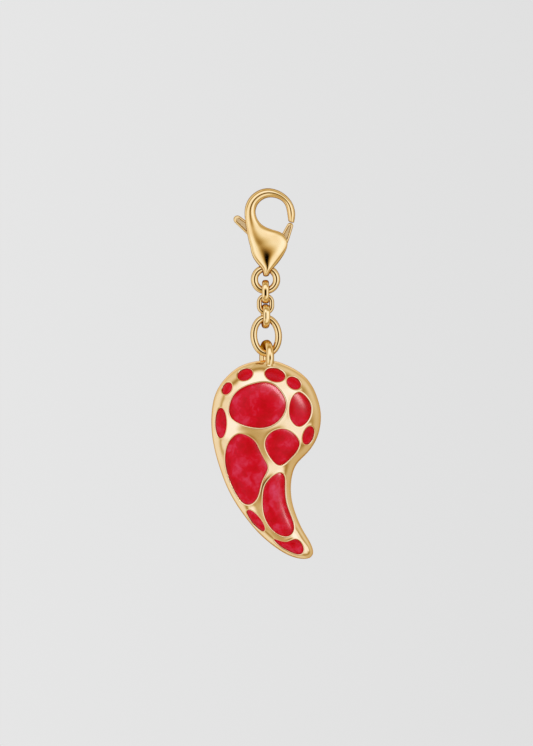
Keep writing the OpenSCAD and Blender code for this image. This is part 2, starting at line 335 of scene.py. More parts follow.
@dataclass(frozen=True)
class StudioCard(Finish):
    """Matt pale card, the floor of the studio."""

    name: str = "pale_card"
    colour: str = "#E7EDE2"
    roughness: float = 0.9

    def inputs(self, tree: Tree) -> Inputs:
        """What feeds the shader, by socket."""
        return {"Base Color": linear(self.colour), "Roughness": self.roughness}


def unit(vectors: Array) -> Array:
    """Vectors scaled to a length of 1."""
    return vectors / np.maximum(np.linalg.norm(vectors, axis=-1, keepdims=True), TINY)


def around(count: int) -> Array:
    """Evenly spaced angles once round, in radians."""
    return np.linspace(0, 2 * math.pi, count, endpoint=False)


def ellipse(turn: Array, wide: float = 1.0, high: float = 1.0) -> Array:
    """Flat points on an ellipse at some angles."""
    return np.stack([wide * np.cos(turn), high * np.sin(turn)], axis=-1)


def rounded(turn: Array, fullness: float) -> tuple[Array, Array]:
    """The cosines and sines of a section that is fuller than an ellipse, whose fullness is 2."""
    across, deep = (np.sign(wave) * np.abs(wave) ** (2 / fullness) for wave in ellipse(turn).T)
    return across, deep


def upright(flat: Array, y: Array | float = 0.0) -> Array:
    """Points in space from flat points and their y."""
    return np.stack([flat[..., 0], np.broadcast_to(y, flat.shape[:-1]), flat[..., 1]], axis=-1)


def turned(points: Array, degrees: float, first: int, second: int) -> Array:
    """Turns points from one axis towards another.

    Args:
        points: the points, one in each row.
        degrees: how far they turn.
        first: the number of the one axis.
        second: the number of the other axis.

    Returns:
        The turned points.
    """
    sine, cosine = math.sin(math.radians(degrees)), math.cos(math.radians(degrees))
    result = points.copy()
    result[:, first] = cosine * points[:, first] - sine * points[:, second]
    result[:, second] = sine * points[:, first] + cosine * points[:, second]
    return result


def middle_and_reach(rows: Array) -> tuple[Array, Array]:
    """Each section's middle, and the way from it to the section's second end, both flat."""
    return (rows[:, :2] + rows[:, 2:4]) / 2, (rows[:, 2:4] - rows[:, :2]) / 2


def extended(rows: Array) -> Array:
    """Rows with one more past each end, which make a spline end at the rows' own ends."""
    return np.vstack([2 * rows[0] - rows[1], rows, 2 * rows[-1] - rows[-2]])


def curve_at(control: Array, places: Array) -> Array:
    """Points on a uniform cubic B-spline, which has no sudden change of curvature.

    Args:
        control: control rows, the first and the last of them only steering the ends.
        places: where to look, from 0 at the second row to len(control) - 3 at the last but one.

    Returns:
        One row for each place.
    """
    start = np.clip(np.floor(places).astype(int), 0, len(control) - 4)
    t = (places - start)[:, None]
    weights = (1 - t) ** 3, 3 * t**3 - 6 * t**2 + 4, -3 * t**3 + 3 * t**2 + 3 * t + 1, t**3
    return sum(w * control[start + i] for i, w in enumerate(weights)) / 6


def loop_through(points: Array, spacing: float, fine_steps: int = 40, fewest: int = 12) -> Array:
    """A smooth closed curve through a ring of points.

    Args:
        points: the ring, one row for each point.
        spacing: distance between the points that come back.
        fine_steps: how finely the curve is measured between two points of the ring.
        fewest: how many points come back at least.

    Returns:
        Evenly spaced points on the curve.
    """
    count = len(points)
    ring = np.eye(count) * 4 + np.roll(np.eye(count), 1, axis=1) + np.roll(np.eye(count), -1, axis=1)
    control = np.linalg.solve(ring / 6, points)
    control = np.vstack([control[-1:], control, control[:2]])
    fine = curve_at(control, np.linspace(0, count, count * fine_steps, endpoint=False))
    closed = np.vstack([fine, fine[:1]])
    run = np.concatenate([[0], np.cumsum(np.linalg.norm(np.diff(closed, axis=0), axis=1))])
    wanted = np.linspace(0, run[-1], max(fewest, round(run[-1] / spacing)), endpoint=False)
    return np.stack([np.interp(wanted, run, column) for column in closed.T], axis=1)


def loop_direction(loop: Array) -> Array:
    """The way that a closed loop runs at each of its points."""
    return unit(np.roll(loop, -1, axis=0) - np.roll(loop, 1, axis=0))


def inside(points: Array, outline: Array) -> Array:
    """Tells which flat points lie inside a closed outline.

    Args:
        points: the flat points.
        outline: the outline's flat corners.

    Returns:
        True or False for each point.
    """
    x, z = points[:, :1], points[:, 1:]
    ax, az = outline.T
    bx, bz = np.roll(ax, -1), np.roll(az, -1)
    spans = (az > z) != (bz > z)
    with np.errstate(divide="ignore", invalid="ignore"):
        crossing = x < (bx - ax) * (z - az) / (bz - az) + ax
    return (spans & crossing).sum(axis=1) % 2 == 1


def nearest_on_loop(points: Array, loop: Array) -> Array:
    """The nearest point on a closed loop of straight runs, for each point.

    Args:
        points: places to measure from, one in each row.
        loop: the loop's corners.

    Returns:
        The nearest point on the loop, one row for each place.
    """
    run = np.roll(loop, -1, axis=0) - loop
    result = np.empty_like(points)
    for start in range(0, len(points), BATCH):
        some = points[start : start + BATCH]
        offset = some[:, None, :] - loop[None, :, :]
        along = np.clip((offset * run).sum(-1) / (run * run).sum(-1), 0, 1)
        found = loop + along[..., None] * run
        distance = np.linalg.norm(some[:, None, :] - found, axis=-1)
        result[start : start + BATCH] = found[np.arange(len(some)), distance.argmin(axis=1)]
    return result


def apart(points: Array, loop: Array, distance: float) -> Array:
    """Those of the points that lie at least a distance from a loop."""
    return points[np.linalg.norm(points - nearest_on_loop(points, loop), axis=1) >= distance]


def grid_over(outline: Array, step: float) -> Array:
    """An even triangular grid of flat points.

    Args:
        outline: flat points, whose box the grid covers.
        step: the distance between neighbours.

    Returns:
        The grid's points.
    """
    low, high = outline.min(0), outline.max(0)
    columns = np.arange(low[0], high[0], step)
    rows = np.arange(low[1], high[1], step * ROW_RISE)
    return np.array([(x + j % 2 * step / 2, z) for j, z in enumerate(rows) for x in columns])


def ring_edges(start: int, count: int) -> list[tuple[int, int]]:
    """The edges of a closed ring of points that follow each other from a number on."""
    return [(start + k, start + (k + 1) % count) for k in range(count)]


def signed_area(flat: Array, triangles: Array) -> Array:
    """Twice each triangle's area, positive where it runs anticlockwise in x and z."""
    a, b, c = (flat[triangles[:, k]] for k in range(3))
    return (b[:, 0] - a[:, 0]) * (c[:, 1] - a[:, 1]) - (b[:, 1] - a[:, 1]) * (c[:, 0] - a[:, 0])


def triangulated(flat: Array, edges: Sequence[tuple[int, int]], same_mm: float = 1e-7) -> Array:
    """Triangles over flat points that keep the given edges, anticlockwise in x and z.

    Args:
        flat: the flat points.
        edges: pairs of point numbers that stay joined.
        same_mm: how close two points count as one.

    Returns:
        The point numbers of each triangle.
    """
    corners = [Vector(p) for p in flat.tolist()]
    _, _, faces, origins, _, _ = delaunay_2d_cdt(corners, list(edges), [], 0, same_mm, True)
    source = [group[0] if group else -1 for group in origins]
    result = np.array([[source[i] for i in face] for face in faces])
    result = result[(result >= 0).all(axis=1)]
    backwards = signed_area(flat, result) < 0
    result[backwards] = result[backwards][:, ::-1]
    return result


def within(triangles: Array, flat: Array, outline: Array) -> Array:
    """Tells which triangles over flat points have their middle inside an outline."""
    return inside(flat[triangles].mean(axis=1), outline)


def filled(outline: Array) -> Array:
    """The triangles that fill a closed flat outline."""
    cover = triangulated(outline, ring_edges(0, len(outline)))
    return cover[within(cover, outline, outline)]


def band(upper: Array, lower: Array) -> Faces:
    """Faces between two closed rings of points.

    Args:
        upper: the first ring's point numbers, anticlockwise seen from above.
        lower: the next ring's, as many.

    Returns:
        The faces, seen from outside.
    """
    return list(zip(upper, lower, np.roll(lower, -1), np.roll(upper, -1)))


def loft_faces(rings: int, sides: int) -> Faces:
    """Faces of a closed skin over rings of points, with one more point at each end.

    The rings run downwards and each goes round anticlockwise seen from above. The end points come
    after all the rings.

    Args:
        rings: how many rings there are.
        sides: how many points each ring has.

    Returns:
        The faces, ring by ring and then those of the two ends.
    """
    number = np.arange(rings * sides).reshape(rings, sides)
    faces = [face for upper, lower in zip(number, number[1:]) for face in band(upper, lower)]
    for k, following in ring_edges(0, sides):
        faces.append((number.size, number[0, k], number[0, following]))
        faces.append((number.size + 1, number[-1, following], number[-1, k]))
    return faces


def add_object(name: str, data: bpy.types.ID) -> bpy.types.Object:
    """Puts something in the scene.

    Args:
        name: the object's name.
        data: its mesh, lamp or camera.

    Returns:
        The new object.
    """
    made = bpy.data.objects.new(name, data)
    bpy.context.scene.collection.objects.link(made)
    return made


def make_object(
    name: str, points: Array, faces: Iterable[Sequence[int]], normals: Array | None = None
) -> bpy.types.Object:
    """Makes a smooth mesh object.

    Args:
        name: the object's name.
        points: its points in millimetres. Those that no face uses are left out.
        faces: the point numbers of each face, anticlockwise seen from outside.
        normals: the surface's own direction at each point, if it is known.

    Returns:
        The new object, linked to the scene.
    """
    faces = [[int(i) for i in face] for face in faces]
    used = np.unique([i for face in faces for i in face])
    number = np.zeros(len(points), dtype=int)
    number[used] = np.arange(len(used))
    mesh = bpy.data.meshes.new(name)
    mesh.from_pydata((points[used] * MM).tolist(), [], [number[face].tolist() for face in faces])
    mesh.validate()
    mesh.polygons.foreach_set("use_smooth", [True] * len(mesh.polygons))
    if normals is not None:
        mesh.normals_split_custom_set_from_vertices(normals[used].tolist())
    mesh.update()
    return add_object(name, mesh)


def lofted(name: str, rings: Array) -> bpy.types.Object:
    """A closed skin over rings of points, with a fan about the middle of the first and the last."""
    ends = rings[[0, -1]].mean(axis=1)
    return make_object(name, np.vstack([rings.reshape(-1, 3), ends]), loft_faces(*rings.shape[:2]))


def turn_outwards(piece: bpy.types.Object) -> bpy.types.Object:
    """Turns a closed mesh's faces outwards, if its volume says that they look inwards.

    Args:
        piece: the closed mesh object.

    Returns:
        The same object.
    """
    mesh = piece.data
    mesh.calc_loop_triangles()
    points = np.array([v.co for v in mesh.vertices])
    corners = np.array([t.vertices for t in mesh.loop_triangles])
    a, b, c = (points[corners[:, k]] for k in range(3))
    if (a * np.cross(b, c)).sum() < 0:
        mesh.flip_normals()
    return piece


def sharpen(mesh: bpy.types.Mesh, degrees: float) -> None:
    """Splits the shading at edges sharper than an angle."""
    mesh.polygons.foreach_set("use_smooth", [True] * len(mesh.polygons))
    mesh.set_sharp_from_angle(angle=math.radians(degrees))


def cut(piece: bpy.types.Object, tool: bpy.types.Object, operation: str = "DIFFERENCE") -> None:
    """Cuts one closed mesh with another, or joins them, and deletes the tool.

    Args:
        piece: the mesh that is changed.
        tool: the mesh that cuts it. Its faces keep their own material slot.
        operation: DIFFERENCE or UNION.
    """
    change = piece.modifiers.new("cut", "BOOLEAN")
    change.operation = operation
    change.solver = "EXACT"
    change.object = tool
    bpy.context.view_layer.update()
    result = bpy.data.meshes.new_from_object(piece.evaluated_get(bpy.context.evaluated_depsgraph_get()))
    piece.modifiers.clear()
    piece.data = result
    bpy.data.objects.remove(tool)


def dress(piece: bpy.types.Object, material: bpy.types.Material, body: Body, node: str) -> None:
    """Gives a piece its material and body, and lets it stand for its CAD node.

    Args:
        piece: the finished piece.
        material: what it is made of.
        body: the body that it rides on.
        node: the CAD node that it replaces.
    """
    piece.data.materials.clear()
    piece.data.materials.append(material)
    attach(piece, body.value)
    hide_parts(node)
    LOG.info("%s: %d faces on %s", piece.name, len(piece.data.polygons), body.value)


def centre_of(node: str) -> Array:
    """The middle of a CAD node's box, in millimetres."""
    low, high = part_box(node)
    return np.array(low + high) / 2 / MM


@dataclass
class Chain:
    """The round ring, the three small links and the oval link between the clasp and the pepper."""

    material: bpy.types.Material
    ring_d: float = 4.1
    ring_wire: float = 1.0
    # The wires of the small links: thickness across the link, and width along its axis.
    upper_wire: tuple[float, float] = (0.65, 0.98)
    middle_wire: tuple[float, float] = (0.7, 0.8)
    lower_wire: tuple[float, float] = (0.75, 0.98)
    # Their holes: width and length.
    link_hole: tuple[float, float] = (1.1, 1.74)
    middle_hole: tuple[float, float] = (1.02, 1.54)
    edge_on: float = 90.0
    lower_turn: float = 10.0
    # Half the extra thickness of a wire's outside at the link's top, or at its bottom if negative.
    upper_crown: float = 0.15
    lower_crown: float = -0.09
    oval_size: tuple[float, float] = (4.42, 5.9)
    oval_wire: float = 0.95
    oval_lean: float = 4.0
    fullness: float = 2.4
    link_fullness: float = 2.7
    ring_steps: int = 128
    link_steps: int = 96
    oval_steps: int = 160
    wire_sides: int = 48

    def build(self) -> None:
        """Makes and dresses every ring and link."""
        self.ring()
        self.link("link_upper", self.link_hole, self.upper_wire, self.edge_on, self.upper_crown)
        self.link("link_middle", self.middle_hole, self.middle_wire)
        turned_on = self.edge_on + self.lower_turn
        self.link("link_lower", self.link_hole, self.lower_wire, turned_on, self.lower_crown)
        self.oval()

    def sweep(
        self, node: str, path: Array, out: Array, half_t: Array | float, half_w: float, fullness: float
    ) -> None:
        """Makes and dresses a wire that is bent round a closed path in one plane.

        Args:
            node: the CAD node that it stands for, whose middle the path goes round.
            path: points along the middle of the wire.
            out: the unit direction out of the loop at each point.
            half_t: half the wire's thickness in that direction.
            half_w: half its width, square to the path's plane.
            fullness: the power of its rounded section, 2 for an ellipse.
        """
        square = unit(np.cross(out, loop_direction(path)))
        across, deep = rounded(around(self.wire_sides), fullness)
        thickness = np.broadcast_to(half_t, len(path))[:, None, None] * out[:, None, :]
        width = half_w * square[:, None, :]
        points = path[:, None, :] + across[:, None] * thickness + deep[:, None] * width
        number = np.arange(len(path) * self.wire_sides).reshape(len(path), -1)
        faces = [face for rings in zip(number, np.roll(number, -1, axis=0)) for face in band(*rings)]
        piece = make_object(f"{node}_wire", points.reshape(-1, 3) + centre_of(node), faces)
        dress(piece, self.material, Body.CLASP, node)

    def ring(self) -> None:
        """The round ring in the clasp's eye."""
        out = upright(ellipse(around(self.ring_steps)))
        half = self.ring_wire / 2
        self.sweep("top_ring", out * (self.ring_d / 2 - half), out, half, half, self.fullness)

    def link(
        self,
        node: str,
        hole: tuple[float, float],
        wire: tuple[float, float],
        angle: float = 0.0,
        crown: float = 0.0,
    ) -> None:
        """A link with straight sides and round ends.

        Args:
            node: the CAD node that it stands for.
            hole: width and length of its hole.
            wire: its wire's thickness and width.
            angle: how far it is turned about +Z from face on, in degrees.
            crown: half the extra thickness of the wire's outside, at the bottom if negative.
        """
        reach, straight = (hole[0] + wire[0]) / 2, (hole[1] - hole[0]) / 2
        turn = around(self.link_steps) + math.pi / self.link_steps
        out = upright(ellipse(turn))
        thicker = np.clip(np.sin(turn) * np.sign(crown), 0, 1) ** 2 * abs(crown)
        path = out * (reach + thicker)[:, None]
        path[:, 2] += np.sign(np.sin(turn)) * straight
        path, out = (turned(points, angle, 0, 1) for points in (path, out))
        self.sweep(node, path, out, wire[0] / 2 + thicker, wire[1] / 2, self.link_fullness)

    def oval(self) -> None:
        """The leaning oval link that carries the pepper."""
        short, long = ((size - self.oval_wire) / 2 for size in self.oval_size)
        turn = around(self.oval_steps)
        flat = ellipse(turn, short, long), unit(ellipse(turn, long, short))
        path, out = (upright(turned(points, self.oval_lean, 0, 1)) for points in flat)
        half = self.oval_wire / 2
        self.sweep("oval_link", path, out, half, half, self.fullness)


@dataclass
class Clasp:
    """The lobster clasp: a cast hook and body with its eye, and the sprung lever."""

    material: bpy.types.Material
    recess_material: bpy.types.Material
    eye_x: float = -0.50
    eye_z: float = -9.9
    eye_hole_d: float = 1.3
    eye_bore_l: float = 8.0
    lever_t: float = 0.95
    lever_play: float = 0.05
    lever_bore_l: float = 3.0
    pivot: tuple[float, float] = (1.40, -6.93)
    pin_d: float = 0.7
    pin_play: float = 0.03
    pin_half_l: float = 0.72
    bore_sides: int = 64
    sharp_angle: float = 40.0
    fullness: float = 2.6
    sides: int = 72
    steps: int = 8
    # How far the hook's tip and the neck bulge past their last ring, the angles of the rings of that
    # soft shoulder, and how many rings back its direction is taken from.
    tip_bulge: float = 0.14
    neck_bulge: float = 0.22
    shoulder_turns: Sequence[float] = (18, 36, 54, 70, 82)
    end_span: int = 4
    # A cut face belongs to the eye's bore where it looks no further along X than this, and lies no
    # further from the bore's axis than this share of its diameter.
    bore_tilt: float = 0.01
    bore_share: float = 0.51
    # Outer x, outer z, inner x, inner z, half thickness, half thickness at the edges, and the
    # place of the front's ridge from -1 at the outer edge to 1, for each section from the hook's
    # tip over the top and down to the eye.
    rows: Sequence[Sequence[float]] = (
        (3.44, -3.54, 2.64, -3.32, 0.38, 0.0, 0.0),
        (3.58, -2.85, 2.55, -2.68, 0.49, 0.0, 0.0),
        (3.61, -2.10, 2.45, -2.00, 0.53, 0.0, 0.0),
        (3.37, -1.10, 2.24, -1.05, 0.58, 0.0, 0.0),
        (2.77, -0.14, 1.67, -0.46, 0.62, 0.0, 0.0),
        (1.68, 0.81, 0.91, -0.11, 0.65, 0.0, 0.0),
        (0.00, 1.36, 0.00, 0.00, 0.68, 0.0, 0.0),
        (-1.54, 1.05, -0.91, -0.28, 0.72, 0.0, 0.0),
        (-2.73, 0.14, -1.61, -0.90, 0.75, 0.0, 0.0),
        (-3.35, -0.98, -1.93, -1.61, 0.77, 0.08, 0.02),
        (-3.53, -2.10, -1.99, -2.31, 0.80, 0.22, 0.03),
        (-3.43, -3.22, -1.71, -3.18, 0.85, 0.38, -0.03),
        (-3.29, -4.20, -1.12, -3.89, 0.91, 0.42, -0.18),
        (-3.15, -5.04, -0.35, -4.34, 0.98, 0.42, -0.32),
        (-3.01, -5.81, 0.70, -4.66, 1.04, 0.42, -0.40),
        (-2.83, -6.51, 1.75, -4.93, 1.09, 0.42, -0.42),
        (-2.66, -7.11, 2.31, -5.64, 1.13, 0.42, -0.37),
        (-2.60, -7.67, 2.63, -6.37, 1.18, 0.42, -0.28),
        (-2.36, -8.36, 2.44, -7.24, 1.215, 0.40, -0.20),
        (-2.03, -8.92, 2.09, -7.95, 1.225, 0.38, -0.20),
        (-1.64, -9.42, 1.61, -8.68, 1.22, 0.34, -0.22),
        (-1.30, -9.83, 1.12, -9.33, 1.205, 0.28, -0.16),
        (-1.08, -10.14, 0.68, -9.90, 1.19, 0.20, -0.08),
        (-0.98, -10.42, 0.28, -10.30, 1.17, 0.12, 0.0),
        (-0.95, -10.70, 0.06, -10.66, 1.14, 0.10, 0.0),
        (-0.88, -10.93, -0.06, -10.91, 1.05, 0.10, 0.0),
    )
    slot_outline: Sequence[Sequence[float]] = (
        (-4.35, -2.35), (-1.70, -4.25), (0.25, -5.20), (0.35, -4.05), (3.35, -4.05), (3.35, -7.30),
        (2.40, -7.95), (1.45, -8.05), (-2.45, -8.45), (-3.70, -8.55),
    )
    # Middle x, middle z and half width along the lever's two arms, each from its tip to the pivot.
    thumb_arm: Sequence[Sequence[float]] = (
        (-4.48, -3.15, 0.56), (-3.33, -4.13, 0.66), (-2.17, -5.11, 0.77),
        (-0.40, -6.02, 0.80), (1.40, -6.93, 0.84),
    )
    gate_arm: Sequence[Sequence[float]] = (
        (2.88, -4.04, 0.43), (2.52, -4.88, 0.54), (2.11, -5.85, 0.64),
        (1.75, -6.39, 0.74), (1.40, -6.93, 0.84),
    )
    # The lever's rim round its panels and their depth, how much thinner its round ends get, and the
    # angles of the sections there.
    rim: float = 0.34
    recess: float = 0.10
    tip_drop: float = 0.35
    arm_steps: int = 33
    end_turns: Sequence[float] = (4, 12, 22, 34, 46, 58, 70, 81)
    # The arms' rounded edges: share of the rim that they take, depth and angles.
    edge_share: float = 0.7
    edge_drop: float = 0.2
    edge_turns: Sequence[float] = (0, 15, 30, 45, 60, 75, 90)
    # The panel's wall leans by so much, and a panel narrower than the least one has no floor.
    wall_lean: float = 0.07
    least_panel: float = 0.05
    least_lip: float = 0.012
    least_floor: float = 0.008
    # The panels' floors look at least this much along Y.
    floor_facing: float = 0.95

    def build(self) -> None:
        """Makes and dresses the clasp's body, its lever and the lever's pin."""
        dress(self.body(), self.material, Body.CLASP, "clasp_body")
        lever = self.lever()
        dress(lever, self.material, Body.LEVER, "clasp_lever")
        self.finish_recess(lever)
        pin = self.bore_tool("lever_pin_drawn", self.pivot, self.pin_d, 1, 2 * self.pin_half_l)
        sharpen(pin.data, self.sharp_angle)
        dress(pin, self.material, Body.CLASP, "lever_pin")

    def finish_recess(self, lever: bpy.types.Object) -> None:
        """Gives the floors of the lever's panels their own satin finish.

        Args:
            lever: the dressed lever.
        """
        lever.data.materials.append(self.recess_material)
        floor = (self.lever_t / 2 - self.recess) * MM
        for face in lever.data.polygons:
            at_floor = abs(abs(face.center.y) - floor) < self.recess * MM / 4
            if abs(face.normal.y) > self.floor_facing and at_floor:
                face.material_index = 1

    def section_points(self, rows: Array) -> Array:
        """The rings of points round sections of the hook and body.

        Args:
            rows: sections, with the columns of the table of rows.

        Returns:
            One ring of points for each section.
        """
        turn = around(self.sides) + math.pi / self.sides
        _, deep = rounded(turn, self.fullness)
        half, edge, ridge = (rows[:, k : k + 1] for k in (4, 5, 6))
        across = (np.cos(turn) + ridge) / (1 + ridge * np.cos(turn))
        middle, reach = middle_and_reach(rows)
        flat = middle[:, None, :] + across[..., None] * reach[:, None, :]
        return upright(flat, np.sign(deep) * edge + deep * (half - edge))

    def body(self) -> bpy.types.Object:
        """The hook and body with the lever's slot and the eye.

        Returns:
            One closed mesh.
        """
        rows = np.array(self.rows)
        places = np.linspace(0, len(rows) - 1, (len(rows) - 1) * self.steps + 1)
        rings = self.section_points(curve_at(extended(rows), places))
        tip = self.round_end(rings[self.end_span :: -1], self.tip_bulge)
        neck = self.round_end(rings[-self.end_span :], self.neck_bulge)
        whole = lofted("clasp_whole", np.concatenate([tip[::-1], rings, neck]))
        whole.data.materials.append(self.material)
        body = add_object("clasp_hook_and_body", whole.data.copy())
        cut(body, self.slot_tool())
        cut(body, self.bore_tool("eye_tool", (self.eye_x, self.eye_z), self.eye_hole_d, 0, self.eye_bore_l))
        self.copy_normals(body.data, whole)
        bpy.data.objects.remove(whole)
        return body

    def round_end(self, rings: Array, bulge: float) -> Array:
        """Closes a blunt end with a soft shoulder.

        Args:
            rings: the last rings of points before the end.
            bulge: how far the end bulges past them.

        Returns:
            The rings past the last one, the smallest of them last.
        """
        middles = rings.mean(axis=1)
        ahead = unit(middles[-1] - middles[0]) * bulge
        turn = np.radians(self.shoulder_turns)[:, None, None]
        return middles[-1] + (rings[-1] - middles[-1]) * np.cos(turn) + ahead * np.sin(turn)

    def slot_tool(self) -> bpy.types.Object:
        """The flat shape that cuts the lever's slot."""
        half, outline = self.lever_t / 2 + self.lever_play, np.array(self.slot_outline)
        return self.prism("slot_tool", [upright(outline, -half), upright(outline, half)])

    def bore_tool(
        self, name: str, middle: tuple[float, float], diameter: float, axis: int, length: float
    ) -> bpy.types.Object:
        """A cylinder along X or Y.

        Args:
            name: its name.
            middle: its middle in x and z.
            diameter: its diameter.
            axis: the number of the axis that it lies along, 0 for X or 1 for Y.
            length: its length.

        Returns:
            The cylinder.
        """
        disc = ellipse(around(self.bore_sides), diameter / 2, diameter / 2)
        ends = [np.insert(disc, axis, end, axis=1) for end in (-length / 2, length / 2)]
        return self.prism(name, [end + [middle[0], 0, middle[1]] for end in ends])

    def prism(self, name: str, ends: Sequence[Array]) -> bpy.types.Object:
        """A closed shape between two rings of points, all of it in the second material slot.

        Args:
            name: its name.
            ends: the two rings.

        Returns:
            The shape, its faces turned outwards.
        """
        near, far = np.arange(2 * len(ends[0])).reshape(2, -1)
        tool = make_object(name, np.vstack(ends), [near, far[::-1], *band(near, far)])
        for _ in range(2):
            tool.data.materials.append(self.material)
        tool.data.polygons.foreach_set("material_index", [1] * len(tool.data.polygons))
        return turn_outwards(tool)

    def copy_normals(self, mesh: bpy.types.Mesh, whole: bpy.types.Object) -> None:
        """Gives what is left of a cut skin the smooth directions that the whole skin had.

        Args:
            mesh: the cut mesh. Faces made by a tool have the second material slot and stay flat,
                but for the eye's bore, which is round.
            whole: the object as it was before the cuts.
        """
        tree = BVHTree.FromObject(whole, bpy.context.evaluated_depsgraph_get())
        directions = []
        for face in mesh.polygons:
            for corner in face.vertices:
                spot = mesh.vertices[corner].co
                if face.material_index == 1:
                    inwards = Vector((0, -spot.y, self.eye_z * MM - spot.z))
                    near = inwards.length < self.eye_hole_d * MM * self.bore_share
                    in_bore = near and abs(face.normal.x) < self.bore_tilt
                    directions.append(inwards.normalized() if in_bore else face.normal.copy())
                    continue
                found, _, index, _ = tree.find_nearest(spot)
                around_it = [whole.data.vertices[i] for i in whole.data.polygons[index].vertices]
                weights = poly_3d_calc([v.co for v in around_it], found)
                blend = sum((v.normal * w for v, w in zip(around_it, weights)), Vector())
                directions.append(blend.normalized())
        mesh.normals_split_custom_set(directions)

    def arm(self, name: str, rows: Sequence[Sequence[float]]) -> bpy.types.Object:
        """One arm of the lever: a flat bar with rounded edges and a recessed panel on each face.

        Args:
            name: the mesh's name.
            rows: middle x, middle z and half width, from the tip to the pivot.

        Returns:
            The arm, closed at both ends.
        """
        path = curve_at(extended(np.array(rows)), np.linspace(0, len(rows) - 1, self.arm_steps))
        ahead = unit(np.gradient(path[:, :2], axis=0))
        # Past the first and the last row come the sections of a round end, which narrow as a circle.
        turn, plain = np.radians(self.end_turns), np.zeros(len(path))
        past = np.concatenate([-np.cos(turn), plain, np.cos(turn[::-1])])
        full = np.concatenate([np.sin(turn), plain + 1, np.sin(turn[::-1])])
        row = np.pad(np.arange(len(path)), len(turn), mode="edge")
        radius, ahead = path[row, 2], ahead[row]
        middle = path[row, :2] + (past * radius)[:, None] * ahead
        panel = np.sqrt(np.maximum((radius - self.rim) ** 2 - (past * radius) ** 2, 0))
        thick = self.lever_t / 2 * (1 - self.tip_drop * past**2)
        sections = np.stack([self.bar_section(*sizes) for sizes in zip(radius * full, panel, thick)])
        aside = ahead[:, None, ::-1] * [1, -1]
        flat = middle[:, None, :] + sections[..., :1] * aside
        return turn_outwards(lofted(name, upright(flat, sections[..., 1])))

    def bar_section(self, half: float, panel: float, thick: float) -> Array:
        """The closed outline of the lever's cut: across the bar, and from front to back.

        Args:
            half: half the bar's width here.
            panel: half the recessed panel's width here, or 0 where there is none.
            thick: half its thickness here.

        Returns:
            The outline's points, the same number for any size.
        """
        edge = self.edge_share * min(self.rim, half)
        corner = ellipse(np.radians(self.edge_turns), edge, self.edge_drop)
        floor = self.lever_t / 2 - self.recess if panel > self.least_panel else thick
        lip = max(min(panel + self.wall_lean, half - edge), self.least_lip)
        panel = max(panel, self.least_floor)
        front = [(lip, thick), (panel, floor), (panel / 2, floor), (0, floor)]
        quarter = np.vstack([corner + [half - edge, thick - self.edge_drop], front])
        top = np.vstack([quarter, quarter[-2::-1] * [-1, 1]])
        return np.vstack([top, top[::-1] * [1, -1]])

    def lever(self) -> bpy.types.Object:
        """The lever with its thumb tab and gate, bored for its pin.

        Returns:
            One mesh.
        """
        lever = self.arm("clasp_lever_cast", self.thumb_arm)
        cut(lever, self.arm("gate_arm", self.gate_arm), "UNION")
        bore_d = self.pin_d + 2 * self.pin_play
        cut(lever, self.bore_tool("pin_tool", self.pivot, bore_d, 1, self.lever_bore_l))
        sharpen(lever.data, self.sharp_angle)
        return lever


@dataclass(frozen=True)
class LipRing:
    """A ring of points on the rounded lip of a cell, numbered among the front's own points."""

    cell: int
    arc: float
    flat: Array
    start: int

    @property
    def part(self) -> slice:
        """Its place among the front's own points."""
        return slice(self.start, self.start + len(self.flat))


